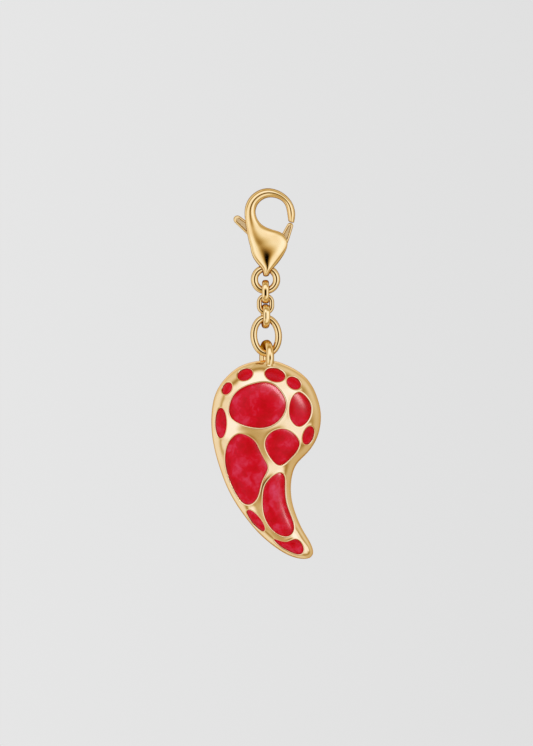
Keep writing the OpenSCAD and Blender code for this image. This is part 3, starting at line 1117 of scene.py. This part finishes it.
@dataclass
class Pepper:
    """The gold pepper with its soldered bail and the red pieces in its cells.

    Its own frame has x and z from the top of the pepper. The joint gives the place of its bail.
    """

    gold: bpy.types.Material
    wire_gold: bpy.types.Material
    red: bpy.types.Material
    # The bail: a ring of wire, of which the top is thicker, and how much of it is made.
    bail_d: float = 4.5
    bail_wire: float = 1.1
    bail_turn: float = 16.0
    bail_gap: float = 0.06
    bail_rise: float = 0.32
    bail_fullness: float = 2.35
    bail_crown: float = 0.13
    crown_start: float = 0.35
    bail_reach: float = 135.0
    bail_rings: int = 97
    bail_sides: int = 40
    wire_fullness: float = 2.5
    oval_wire: float = 0.95
    solder: float = 0.32
    side_shift: float = -0.1
    # The skin, and how much of its front's width, and which rows, the middle part with the cells takes.
    fullness: float = 2.3
    steps: int = 8
    back_sides: int = 96
    front_sides: int = 40
    front_share: float = 0.975
    first_row: int = 3
    last_row: int = 22
    tip_direction: tuple[float, float, float] = (0.6, 0, -0.8)
    grid_mm: float = 0.2
    border_clear: float = 0.6
    sliver_mm2: float = 1e-3
    # How finely places are searched for and slopes are measured, in mm, rows and radians.
    halvings: int = 26
    probe_mm: float = 0.004
    probe_row: float = 0.002
    probe_turn: float = 0.0005
    # The cells: their outlines' points, the gold's rounded lip and its soft swell round them.
    outline_mm: float = 0.1
    oval_points: int = 16
    lip_width: float = 0.2
    lip_drop: float = 0.15
    lip_arcs: Sequence[float] = (0, 14, 28, 43, 58, 74, 90)
    swell: float = 0.03
    swell_reach: float = 0.65
    cell_depth: float = 0.45
    # The red pieces: how far they lie below the gold at the edge, and how softly they swell.
    inlay_gap: float = 0.012
    inlay_edge: float = 0.185
    inlay_swell: float = 0.55
    inlay_insets: Sequence[float] = (0, 0.025, 0.06, 0.11)
    inlay_grid_mm: float = 0.16
    under_gap: float = 0.03
    # Left x, left z, right x, right z and half thickness of each section, from top to tip.
    rows: Sequence[Sequence[float]] = (
        (-0.05, 0.02, -0.05, 0.02, 0.0),
        (-1.10, -0.10, 1.00, -0.10, 0.90),
        (-2.10, -0.30, 1.80, -0.25, 1.40),
        (-3.10, -0.60, 2.75, -0.65, 1.85),
        (-4.05, -1.05, 3.55, -1.00, 2.20),
        (-5.10, -1.90, 4.60, -1.60, 2.55),
        (-6.10, -2.95, 5.75, -2.55, 2.85),
        (-6.90, -4.20, 6.70, -3.95, 3.08),
        (-7.40, -5.60, 7.30, -5.55, 3.19),
        (-7.65, -7.40, 7.70, -7.15, 3.15),
        (-7.70, -9.10, 7.70, -8.95, 2.97),
        (-7.50, -11.20, 7.20, -11.05, 2.70),
        (-7.00, -13.45, 5.95, -12.95, 2.46),
        (-6.35, -15.55, 4.50, -14.15, 2.32),
        (-5.55, -17.70, 3.80, -15.35, 2.22),
        (-4.55, -19.60, 3.45, -17.10, 2.13),
        (-3.50, -21.20, 3.45, -18.90, 2.03),
        (-2.30, -22.80, 3.80, -20.60, 1.93),
        (-1.00, -24.30, 4.35, -22.10, 1.83),
        (0.35, -25.50, 4.90, -23.40, 1.71),
        (1.80, -26.60, 5.65, -24.65, 1.58),
        (3.20, -27.40, 6.30, -25.70, 1.36),
        (4.35, -27.75, 6.62, -26.65, 1.10),
        (5.15, -27.86, 6.58, -27.20, 0.75),
        (5.72, -27.82, 6.35, -27.52, 0.38),
        (6.10, -27.72, 6.10, -27.72, 0.0),
    )
    # Middle x, middle z, half length, half width and tilt of the plain oval cells.
    oval_cells: Sequence[Sequence[float]] = (
        (-2.95, -2.00, 1.12, 0.83, 20),
        (1.25, -2.05, 1.44, 0.95, -15),
        (-5.50, -3.95, 0.92, 0.66, 58),
        (3.90, -3.20, 1.06, 0.80, -35),
        (-6.35, -8.80, 2.11, 0.81, 90),
        (5.95, -10.55, 1.33, 0.77, 72),
        (-1.45, -22.45, 1.85, 0.64, -51),
    )
    # The other cells, each a ring of x and z taken clockwise.
    drawn_cells: Sequence[Sequence[Sequence[float]]] = (
        (
            (-5.18, -7.10), (-4.70, -5.25), (-3.50, -4.00), (-1.90, -3.35), (-0.15, -3.10), (1.40, -3.70),
            (2.45, -5.05), (2.75, -6.50), (2.05, -8.10), (0.55, -9.20), (-1.35, -9.45), (-3.35, -9.00),
            (-4.65, -8.25),
        ),
        (
            (4.60, -4.50), (5.45, -4.95), (6.20, -6.00), (6.35, -7.15), (5.95, -8.35), (4.90, -9.25),
            (3.90, -8.90), (3.30, -7.70), (3.35, -6.15), (3.80, -5.05),
        ),
        (
            (2.10, -9.65), (3.65, -10.15), (4.60, -11.35), (4.40, -12.60), (3.35, -13.85), (1.95, -14.70),
            (0.65, -13.65), (-0.10, -11.90), (0.50, -10.35),
        ),
        (
            (-3.35, -10.35), (-1.80, -11.15), (-1.00, -12.45), (-0.20, -14.00), (0.20, -15.25),
            (-0.55, -16.85), (-1.05, -18.75), (-1.95, -20.00), (-3.35, -19.90), (-4.60, -18.05),
            (-5.40, -16.10), (-5.75, -14.00), (-5.40, -11.95), (-4.50, -10.70),
        ),
        (
            (1.80, -15.80), (2.65, -16.45), (2.70, -18.05), (2.95, -20.15), (3.65, -22.10), (3.90, -23.65),
            (3.00, -24.60), (1.40, -24.15), (0.15, -22.70), (-0.40, -20.85), (-0.40, -18.75), (0.20, -17.00),
        ),
        (
            (1.10, -25.10), (2.10, -25.35), (3.20, -25.35), (4.25, -25.05), (5.05, -25.75), (5.20, -26.75),
            (4.40, -27.20), (2.95, -26.65), (1.80, -25.95),
        ),
    )
    origin: Array = field(init=False)
    bail_middle: Array = field(init=False)
    bail_axis: Array = field(init=False)
    bail_side: Array = field(init=False)
    control: Array = field(init=False)
    outlines: list[Array] = field(init=False)
    rims: list[Array] = field(init=False)
    ways_out: list[Array] = field(init=False)
    stones: list[bpy.types.Object] = field(default_factory=list)

    def __post_init__(self) -> None:
        """Works out the places and the smooth outlines that the meshes share."""
        joint = next(j for j in frame["joints"] if j["name"] == "pepper_swing")
        rise = self.oval_wire / 2 + self.bail_gap + self.bail_wire / 2 - self.bail_r
        self.bail_middle = np.array(joint["pos_m"]) / MM + [0, 0, rise]
        self.bail_axis, self.bail_side = turned(np.eye(3)[:2], self.bail_turn, 0, 1)
        self.origin = self.bail_middle + [self.side_shift, 0, -self.bail_rise]
        rows = np.array(self.rows)
        mirrored = [row[[2, 3, 0, 1, 4]] * [1, 1, 1, 1, -1] for row in (rows[1], rows[-2])]
        self.control = np.vstack([mirrored[0], rows, mirrored[1]])
        rings = [self.oval(row) for row in self.oval_cells] + [np.array(ring) for ring in self.drawn_cells]
        self.outlines = [loop_through(ring, self.outline_mm) for ring in rings]
        self.rims = [self.on_front(outline) for outline in self.outlines]
        self.ways_out = [
            unit(np.cross(self.front_direction(outline), loop_direction(rim)))
            for outline, rim in zip(self.outlines, self.rims)
        ]

    @property
    def bail_r(self) -> float:
        """The radius of the middle of the bail's wire."""
        return (self.bail_d - self.bail_wire) / 2

    def oval(self, row: Sequence[float]) -> Array:
        """A ring of flat points on an oval, taken clockwise."""
        x, z, long, short, tilt = row
        return turned(ellipse(-around(self.oval_points), long, short), tilt, 0, 1) + [x, z]

    def floor_y(self, cell: int) -> float:
        """The y of a cell's flat floor."""
        return self.rims[cell][:, 1].max() + self.cell_depth

    def row_through(self, flat: Array) -> Array:
        """The section that runs through each flat point, found by halving.

        Args:
            flat: the flat points.

        Returns:
            A row like those of the table for each point.
        """
        low = np.zeros(len(flat))
        high = np.full(len(flat), len(self.rows) - 1.0)
        for _ in range(self.halvings):
            middle = (low + high) / 2
            row = curve_at(self.control, middle)
            run = row[:, 2:4] - row[:, :2]
            above = run[:, 0] * (flat[:, 1] - row[:, 1]) - run[:, 1] * (flat[:, 0] - row[:, 0]) > 0
            high = np.where(above, middle, high)
            low = np.where(above, low, middle)
        return curve_at(self.control, (low + high) / 2)

    def on_front(self, flat: Array) -> Array:
        """Lifts flat points to the plain front surface.

        Args:
            flat: the flat points.

        Returns:
            The points on the surface.
        """
        row = self.row_through(flat)
        middle, reach = middle_and_reach(row)
        share = ((flat - middle) * reach).sum(1) / np.maximum((reach * reach).sum(1), TINY)
        depth = row[:, 4] * np.maximum(1 - np.abs(share) ** self.fullness, 0) ** (1 / self.fullness)
        return upright(flat, -depth)

    def front_direction(self, flat: Array) -> Array:
        """The outward direction of the plain front surface at flat points."""
        steps = np.eye(2) * self.probe_mm
        return unit(np.cross(*(self.on_front(flat + step) - self.on_front(flat - step) for step in steps)))

    def shaped(self, plain: Array, direction: Array) -> tuple[Array, Array]:
        """Moves points of the plain skin out to the soft swell round the cells and to the solder.

        Args:
            plain: points on the plain skin.
            direction: its outward direction there.

        Returns:
            The moved points and the outward direction of the new skin.
        """
        lift, slope = self.solder_lift(plain)
        for rim in self.rims:
            low, high = rim.min(0) - self.swell_reach, rim.max(0) + self.swell_reach
            near = np.flatnonzero(((plain > low) & (plain < high)).all(axis=1))
            away = plain[near] - nearest_on_loop(plain[near], rim)
            left = np.clip(1 - np.linalg.norm(away, axis=1) / self.swell_reach, 0, 1)
            lift[near] += self.swell * left**2
            slope[near] += (2 * self.swell / self.swell_reach * left)[:, None] * unit(away)
        slope -= (slope * direction).sum(1)[:, None] * direction
        return plain + direction * lift[:, None], unit(direction + slope)

    def solder_lift(self, plain: Array) -> tuple[Array, Array]:
        """The solder at the bail's feet.

        Args:
            plain: points on the plain skin.

        Returns:
            How far the solder raises the skin there, and which way it leans.
        """
        offset = plain - self.bail_middle + self.origin
        flat = offset - (offset @ self.bail_axis)[:, None] * self.bail_axis
        away = offset - unit(flat) * self.bail_r
        distance = np.linalg.norm(away, axis=1) - self.bail_wire / 2
        share = np.clip(1 - distance / self.solder, 0, 1)
        return self.solder / 2 * share**2, share[:, None] * unit(away)

    def build(self) -> None:
        """Makes and dresses the pepper, its bail and every inlay."""
        body, bail = self.body(), self.bail()
        bail.data.materials.append(self.wire_gold)
        dress(body, self.gold, Body.PEPPER, "pendant_body")
        with bpy.context.temp_override(active_object=body, selected_editable_objects=[body, bail]):
            bpy.ops.object.join()
        for cell in range(len(self.outlines)):
            piece = self.inlay(cell)
            dress(piece, self.red, Body.PEPPER, f"inlay_{cell + 1}")
            self.stones.append(piece)

    def skin(self, places: Array, turn: Array) -> Array:
        """Points of the plain skin.

        Args:
            places: where the rings lie, in rows from the top.
            turn: the angles of the points round each ring.

        Returns:
            A ring of points for each place.
        """
        row = curve_at(self.control, places)
        across, deep = rounded(turn, self.fullness)
        middle, reach = middle_and_reach(row)
        return upright(middle[:, None, :] + across[:, None] * reach[:, None, :], deep * row[:, 4:])

    def rings(self) -> tuple[Array, Array]:
        """The plain skin as rings of points from top to tip, and its outward directions.

        Each ring starts where the front's middle part ends on the right, runs round the back to the
        left, and then across the front.

        Returns:
            The rings and the directions.
        """
        start = math.acos(self.front_share ** (self.fullness / 2))
        back = np.linspace(-start, math.pi + start, self.back_sides + 1)
        front = np.linspace(math.pi + start, 2 * math.pi - start, self.front_sides + 1)[1:-1]
        turn = np.concatenate([back, front])
        rows = len(self.rows) - 1
        places = np.linspace(0, rows, rows * self.steps + 1)[1:-1]
        along = self.skin(places + self.probe_row, turn) - self.skin(places - self.probe_row, turn)
        round_it = self.skin(places, turn + self.probe_turn) - self.skin(places, turn - self.probe_turn)
        return self.skin(places, turn), unit(np.cross(along, round_it))

    def body(self) -> bpy.types.Object:
        """The pepper's gold skin with its open cells.

        Returns:
            One closed mesh.
        """
        plain, direction = self.rings()
        ring_count, sides = plain.shape[:2]
        plain = plain.reshape(-1, 3)
        points, normals = self.shaped(plain, direction.reshape(-1, 3))
        poles, _ = middle_and_reach(curve_at(self.control, np.array([0.0, len(self.rows) - 1.0])))
        points = np.vstack([points, upright(poles)])
        normals = np.vstack([normals, [[0, 0, 1], self.tip_direction]])
        # The middle of the front is left open, and its border is taken clockwise from its top left.
        number = np.arange(len(plain)).reshape(ring_count, sides)
        top, low = (row * self.steps - 1 for row in (self.first_row, self.last_row))
        gap = set(number[top:low, self.back_sides :].ravel())
        faces = [face for index, face in enumerate(loft_faces(ring_count, sides)) if index not in gap]
        across = [*range(self.back_sides, sides), 0]
        left, right = number[low - 1 : top : -1, self.back_sides], number[top + 1 : low, 0]
        border = np.concatenate([number[top, across], right, number[low, across[::-1]], left])
        more_points, more_normals, more_faces = self.front(plain[border][:, [0, 2]], border, len(points))
        points = np.vstack([points, more_points]) + self.origin
        return make_object("pepper_gold", points, faces + more_faces, np.vstack([normals, more_normals]))

    def lip_rings(self) -> list[LipRing]:
        """The rings of points round the gold's lip at every cell.

        Returns:
            The rings, those of a cell from its rim outwards.
        """
        rings, start = [], 0
        for cell, (outline, out) in enumerate(zip(self.outlines, self.ways_out)):
            for arc in np.radians(self.lip_arcs):
                flat = outline + out[:, [0, 2]] * self.lip_width * (1 - math.cos(arc))
                rings.append(LipRing(cell, arc, flat, start))
                start += len(flat)
        return rings

    def front_grid(self, border: Array) -> Array:
        """The flat points between the cells.

        Args:
            border: the flat points round the front's middle part.

        Returns:
            The points of an even grid that lie clear of the border and the cells.
        """
        grid = grid_over(border, self.grid_mm)
        grid = apart(grid[inside(grid, border)], border, self.border_clear * self.grid_mm)
        for outline in self.outlines:
            grid = apart(grid[~inside(grid, outline)], outline, self.lip_width + GRID_CLEAR * self.grid_mm)
        return grid

    def front(self, flat_border: Array, border: Array, offset: int) -> tuple[Array, Array, Faces]:
        """The middle of the front, which holds the cells.

        Args:
            flat_border: the flat points that it shares with the rest of the skin.
            border: those points' numbers.
            offset: the number that its own first point gets.

        Returns:
            Its own points, their directions and its faces.
        """
        rings = self.lip_rings()
        own = np.vstack([*(ring.flat for ring in rings), self.front_grid(flat_border)])
        flat = np.vstack([flat_border, own])
        edges = ring_edges(0, len(border))
        for ring in rings:
            if ring.arc in (rings[0].arc, rings[-1].arc):
                edges += ring_edges(len(border) + ring.start, len(ring.flat))
        triangles = triangulated(flat, edges)
        triangles = triangles[within(triangles, flat, flat_border)]
        for outline in self.outlines:
            triangles = triangles[~within(triangles, flat, outline)]
        # Points of the border that lie in line leave flat slivers, which would double its edges.
        sliver = np.abs(signed_area(flat, triangles)) < self.sliver_mm2
        triangles = triangles[(triangles >= len(border)).any(axis=1) | ~sliver]
        number = np.concatenate([border, np.arange(len(own)) + offset])
        faces = list(number[triangles])
        direction = self.front_direction(own)
        points, normals = self.shaped(self.on_front(own), direction)
        for ring in rings:
            part, out = ring.part, self.ways_out[ring.cell]
            points[part] -= direction[part] * self.lip_drop * (1 - math.sin(ring.arc))
            level = normals[part] * self.lip_width * math.sin(ring.arc)
            normals[part] = unit(level - out * self.lip_drop * math.cos(ring.arc))
        # The cells: a wall down from each lip, and a flat floor.
        for ring in rings[:: len(self.lip_arcs)]:
            outline = self.outlines[ring.cell]
            floor = np.arange(len(outline)) + offset + len(points)
            points = np.vstack([points, upright(outline, self.floor_y(ring.cell))])
            normals = np.vstack([normals, normals[ring.part]])
            faces += [*band(number[len(border) :][ring.part], floor), *floor[filled(outline)]]
        return points, normals, faces

    def bail(self) -> bpy.types.Object:
        """The bail's wire, a ring whose foot is sunk in the pepper.

        Returns:
            One closed mesh.
        """
        wire, turn = self.bail_wire / 2, math.radians(self.bail_turn)
        along = np.radians(np.linspace(-self.bail_reach, self.bail_reach, self.bail_rings))
        up, front = rounded(along, self.bail_fullness)
        bend = up[:, None] * [0, 0, 1] - front[:, None] * self.bail_side
        out = unit(np.cross(self.bail_axis, np.gradient(bend, axis=0)))
        out *= np.sign((out * bend).sum(1))[:, None]
        thicker = self.bail_crown * np.clip((up - self.crown_start) / (1 - self.crown_start), 0, 1) ** 2
        path = self.bail_middle + bend * self.bail_r + out * thicker[:, None]
        high, aside = rounded(around(self.bail_sides), self.wire_fullness)
        onward = (out * math.cos(turn) - self.bail_axis * math.sin(turn)) * (wire + thicker)[:, None]
        across = (out * math.sin(turn) + self.bail_axis * math.cos(turn)) * wire
        section = high[:, None] * onward[:, None, :] + aside[:, None] * across[:, None, :]
        return turn_outwards(lofted("bail_wire", path[:, None, :] + section))

    def inlay(self, cell: int) -> bpy.types.Object:
        """One red piece: a domed top that meets the gold's lip, and a flat underside.

        Args:
            cell: the cell's place in the list of outlines.

        Returns:
            The piece, one closed mesh.
        """
        outline, rim, inward = self.outlines[cell], self.rims[cell], -self.ways_out[cell]
        loops = [outline + inward[:, [0, 2]] * (self.inlay_gap + inset) for inset in self.inlay_insets]
        grid = grid_over(outline, self.inlay_grid_mm)
        grid = apart(grid[inside(grid, loops[-1])], loops[-1], GRID_CLEAR * self.inlay_grid_mm)
        flat = np.vstack([*loops, grid])
        count, looped = len(outline), len(flat) - len(grid)
        edges = ring_edges(0, count) + ring_edges(looped - count, count)
        triangles = triangulated(flat, edges)
        triangles = triangles[within(triangles, flat, loops[0])]
        plain, up = self.on_front(flat), self.front_direction(flat)
        reach, lean = self.soft_distance(plain, rim)
        reach[:looped] = np.repeat(self.inlay_insets, count)
        lean[:looped] = np.tile(inward, (len(loops), 1))
        drop = self.inlay_edge * np.exp(-reach / self.inlay_swell)
        slope = (drop / self.inlay_swell)[:, None] * lean
        slope -= (slope * up).sum(1)[:, None] * up
        top = plain - up * drop[:, None]
        # The wall and the underside have points of their own, because their directions differ.
        under = upright(loops[0], self.floor_y(cell) - self.under_gap)
        wall_top, wall_foot, below = np.arange(3 * count).reshape(3, -1) + len(top)
        points = np.vstack([top, top[:count], under, under])
        normals = np.vstack([unit(up - slope), -inward, -inward, np.tile([0.0, 1.0, 0.0], (count, 1))])
        faces = [*triangles, *band(wall_foot, wall_top), *below[filled(outline)[:, ::-1]]]
        return make_object(f"red_inlay_{cell + 1}", points + self.origin, faces, normals)

    @staticmethod
    def soft_distance(points: Array, rim: Array, least: float = 0.01) -> tuple[Array, Array]:
        """A distance from a cell's rim that has no ridge along the middle of the cell.

        It is the distance at which an endless straight rim would have the same sum of inverse
        fourth powers, so it is true close to the rim and rounded off far from it.

        Args:
            points: places inside the cell.
            rim: the cell's rim.
            least: the shortest distance to a point of the rim that counts.

        Returns:
            The distances, and the directions in which they grow.
        """
        following = np.roll(rim, -1, axis=0)
        thirds = [(rim * (3 - k) + following * k) / 3 for k in range(3)]
        weight = np.tile(np.linalg.norm(following - rim, axis=1) / 3, 3) * 2 / math.pi
        offset = points[:, None, :] - np.concatenate(thirds)
        square = np.maximum((offset**2).sum(-1), least**2)
        total = (weight / square**2).sum(1)
        pull = (weight / square**3)[..., None] * offset
        return total ** (-1 / 3), 4 / 3 * (total ** (-4 / 3))[:, None] * pull.sum(axis=1)


def aimed(azimuth: float, angle: float) -> tuple[Vector, Vector]:
    """The way from the charm to a place in the studio.

    Args:
        azimuth: the way from the lens to the place in degrees, 0 to the right and 90 straight up.
        angle: how many degrees it lies from the lens.

    Returns:
        The way there, and the way in which the angle grows.
    """
    a, t = math.radians(azimuth), math.radians(angle)
    way = Vector((math.sin(t) * math.cos(a), -math.cos(t), math.sin(t) * math.sin(a)))
    return way, Vector((math.cos(t) * math.cos(a), math.sin(t), math.cos(t) * math.sin(a)))


@dataclass(frozen=True)
class Panel:
    """A soft-edged patch of the studio's surround: a lit soft box, a dark gap or the lens's shade.

    Its middle lies at an azimuth and an angle from the lens, and it reaches so many degrees out from
    the lens and around it. Its level is how bright it is, and soft is the share of it that fades.
    """

    azimuth: float
    angle: float
    out: float
    around: float
    level: float
    soft: float

    def axes(self) -> tuple[Vector, Vector, Vector]:
        """The two half widths as vectors to measure with, and the way to its middle.

        Returns:
            The vectors outwards, sideways and to the middle.
        """
        a = math.radians(self.azimuth)
        middle, outward = aimed(self.azimuth, self.angle)
        sideways = Vector((-math.sin(a), 0, math.cos(a)))
        high, wide = (math.sin(math.radians(reach)) for reach in (self.out, self.around))
        return outward / high, sideways / wide, middle


@dataclass
class Studio:
    """The pale floor, the soft surround and the camera."""

    photo_px: tuple[int, int] = (533, 746)
    mm_per_px: float = 0.14
    origin_px: tuple[float, float] = (269.5, 197.0)
    camera_mm: float = 700.0
    camera_reach_m: float = 20.0
    sensor_mm: float = 36.0
    # The backdrop's brightness at the left and the right of the picture.
    backdrop: tuple[float, float] = (0.79, 0.75)
    walls: float = 0.58
    # Red and blue for a green of 1, and the powers of the level that they follow.
    red_tone: tuple[float, float] = (0.93, -0.32)
    blue_tone: tuple[float, float] = (1.45, 0.85)
    darkest_toned: float = 0.2
    # Directions that look away from a panel's middle count as so many times further out.
    behind: float = 100.0
    floor_z: float = -115.0
    floor_radius: float = 450.0
    floor_sides: int = 64
    # The stones' lamp: its azimuth and its angle from the lens, its distance, size and brightness.
    lamp_place: tuple[float, float] = (50.0, 37.0)
    lamp_away_mm: float = 600.0
    lamp_size_mm: tuple[float, float] = (660.0, 200.0)
    lamp_level: float = 28.0
    lamp_target_z: float = -32.0
    # Width times height of the smallest stone that the lamp lights.
    lamp_stone_mm2: float = 11.0
    panels: Sequence[Panel] = (
        # The far wall, in the front panels' shade, and the brighter walls at the left and up right.
        Panel(0, 180, 55, 55, 0.50, 0.4),
        Panel(100, 150, 14, 34, 0.95, 0.5),
        Panel(275, 156, 18, 40, 0.30, 0.5),
        Panel(0, 180, 9, 9, 0.12, 0.8),
        Panel(195, 95, 42, 70, 0.92, 0.45),
        Panel(45, 92, 16, 34, 0.76, 0.6),
        # The dark gap round the front panel, and the front panel with the lens in its middle.
        Panel(0, 0, 68, 68, 0.28, 0.08),
        Panel(0, 0, 50, 50, 1.04, 0.12),
        Panel(8, 50, 14, 18, 1.04, 0.3),
        Panel(184, 52, 11, 16, 0.92, 0.4),
        # The shade under the lens, and the gap up at the right.
        Panel(246, 32, 22, 15, 0.44, 0.5),
        Panel(60, 46, 12, 14, 0.50, 0.5),
        # The soft boxes above, right and left of the lens.
        Panel(105, 31, 12, 22, 1.22, 0.4),
        Panel(12, 30, 10, 18, 1.22, 0.5),
        Panel(198, 32, 8, 16, 1.16, 0.5),
        # The lens and its shade.
        Panel(0, 0, 11.5, 11.5, 0.0, 0.7),
    )
    stones: bpy.types.Collection = field(init=False)

    def build(self) -> None:
        """Makes everything that isn't part of the charm."""
        self.stones = bpy.data.collections.new("stones")
        bpy.context.scene.view_settings.view_transform = "Standard"
        self.camera()
        self.world()
        self.floor()
        self.stone_lamp()

    def camera(self) -> None:
        """A long lens straight in front, framed as the photograph is."""
        data = bpy.data.cameras.new("camera")
        camera = add_object("camera", data)
        bpy.context.scene.camera = camera
        width, height = self.photo_px
        x = (width / 2 - self.origin_px[0]) * self.mm_per_px
        z = (self.origin_px[1] - height / 2) * self.mm_per_px
        camera.location = Vector((x, -self.camera_mm, z)) * MM
        camera.rotation_euler = (math.pi / 2, 0, 0)
        data.sensor_width = self.sensor_mm
        data.lens = self.sensor_mm * self.camera_mm / (height * self.mm_per_px)
        data.clip_end = self.camera_reach_m

    def world(self) -> None:
        """A soft surround of panels, and an even backdrop where the camera looks past the charm."""
        world = bpy.data.worlds.new("studio_surround")
        bpy.context.scene.world = world
        world.use_nodes = True
        tree = world.node_tree
        tree.nodes.clear()
        way = add_node(tree, "ShaderNodeTexCoord").outputs["Generated"]
        level = add_node(tree, "ShaderNodeValue").outputs["Value"]
        level.default_value = self.walls
        for panel in self.panels:
            level = self.add_panel(tree, way, level, panel)
        sideways = add_node(tree, "ShaderNodeSeparateXYZ", {"Vector": way}).outputs["X"]
        edge = self.photo_px[0] * self.mm_per_px / 2 / self.camera_mm
        backdrop = remapped(tree, sideways, (-edge, edge), self.backdrop)
        camera_ray = add_node(tree, "ShaderNodeLightPath").outputs["Is Camera Ray"]
        seen = mixed(tree, camera_ray, self.toned(tree, level), backdrop)
        shader = add_node(tree, "ShaderNodeBackground", {"Color": seen})
        add_node(tree, "ShaderNodeOutputWorld", {"Surface": shader.outputs["Background"]})

    def add_panel(self, tree: Tree, way: Socket, level: Socket, panel: Panel) -> Socket:
        """Lays one panel over the surround.

        Args:
            tree: the world's node tree.
            way: the direction that is looked in.
            level: how bright the surround is without the panel.
            panel: the panel to lay over it.

        Returns:
            How bright the surround is with the panel.
        """
        dots = []
        for axis in panel.axes():
            dot = add_node(tree, "ShaderNodeVectorMath", {0: way, 1: axis}, operation="DOT_PRODUCT")
            dots.append(dot.outputs["Value"])
        dots[2] = calculate(tree, "MULTIPLY", calculate(tree, "MINIMUM", dots[2], 0.0), self.behind)
        flat = add_node(tree, "ShaderNodeCombineXYZ", dict(enumerate(dots))).outputs["Vector"]
        length = add_node(tree, "ShaderNodeVectorMath", {0: flat}, operation="LENGTH").outputs["Value"]
        share = remapped(tree, length, (1 + panel.soft, 1 - panel.soft), curve="SMOOTHSTEP")
        return blended(tree, share, level, panel.level)

    def toned(self, tree: Tree, level: Socket) -> Socket:
        """Colours the surround: its bright panels are cool and the gaps between them warm.

        Args:
            tree: the world's node tree.
            level: how bright the surround is.

        Returns:
            The surround's colour, whose green is the level.
        """
        bright = calculate(tree, "MAXIMUM", level, self.darkest_toned)
        parts = {"Green": level}
        for name, (scale, power) in {"Red": self.red_tone, "Blue": self.blue_tone}.items():
            tint = calculate(tree, "MULTIPLY", calculate(tree, "POWER", bright, power), scale)
            parts[name] = calculate(tree, "MULTIPLY", level, tint)
        return add_node(tree, "ShaderNodeCombineColor", parts).outputs["Color"]

    def floor(self) -> None:
        """The plain pale floor."""
        ring = np.insert(ellipse(around(self.floor_sides)) * self.floor_radius, 2, self.floor_z, axis=1)
        floor = make_object("studio_floor", ring, [range(self.floor_sides)])
        floor.data.materials.append(StudioCard().build())
        floor.visible_glossy = False

    def stone_lamp(self) -> None:
        """A soft lamp up at the right that lights only the red pieces and gives them their sheen."""
        wide, high = (size * MM for size in self.lamp_size_mm)
        data = bpy.data.lights.new("stone_lamp", "AREA")
        data.shape = "ELLIPSE"
        data.size, data.size_y = wide, high
        data.energy = self.lamp_level * math.pi * (math.pi / 4 * wide * high)
        lamp = add_object("stone_lamp", data)
        way, outward = aimed(*self.lamp_place)
        lamp.location = (Vector((0, 0, self.lamp_target_z)) + way * self.lamp_away_mm) * MM
        lamp.rotation_euler = Matrix((outward.cross(way), outward, way)).transposed().to_euler()
        lamp.light_linking.receiver_collection = self.stones
        lamp.visible_diffuse = False

    def light_stones(self, stones: Sequence[bpy.types.Object]) -> None:
        """Puts the broad stones under the lamp; the small ones stay plain red.

        Args:
            stones: the red pieces.
        """
        for stone in stones:
            if stone.dimensions.x * stone.dimensions.z > self.lamp_stone_mm2 * MM**2:
                self.stones.objects.link(stone)


def main() -> None:
    """Builds the studio and the charm."""
    logging.basicConfig(level=logging.INFO, format="%(name)s %(message)s")
    studio = Studio()
    studio.build()
    gold = BuffedGold().build()
    red = PolishedRedInlay().build()
    # The gold of the chain, the clasp and the bail. Its colour is the gold's, made a little deeper as
    # painted shade. Its dark brown at glancing angles is also painted shade, for the light lost between the
    # close wires and to the dark surround.
    wire_gold = BuffedGold(
        "yellow_gold_18ct_wire_painted_shade",
        colour="#FFDD90",
        deep_colour="#FCD484",
        glancing_tint_and_shade="#B0823C",
        edge_range=(0.28, 0.82),
    ).build()
    Clasp(wire_gold, SatinGold().build()).build()
    Chain(wire_gold).build()
    pepper = Pepper(gold, wire_gold, red)
    pepper.build()
    studio.light_stones(pepper.stones)


if __name__ == "__main__":
    main()
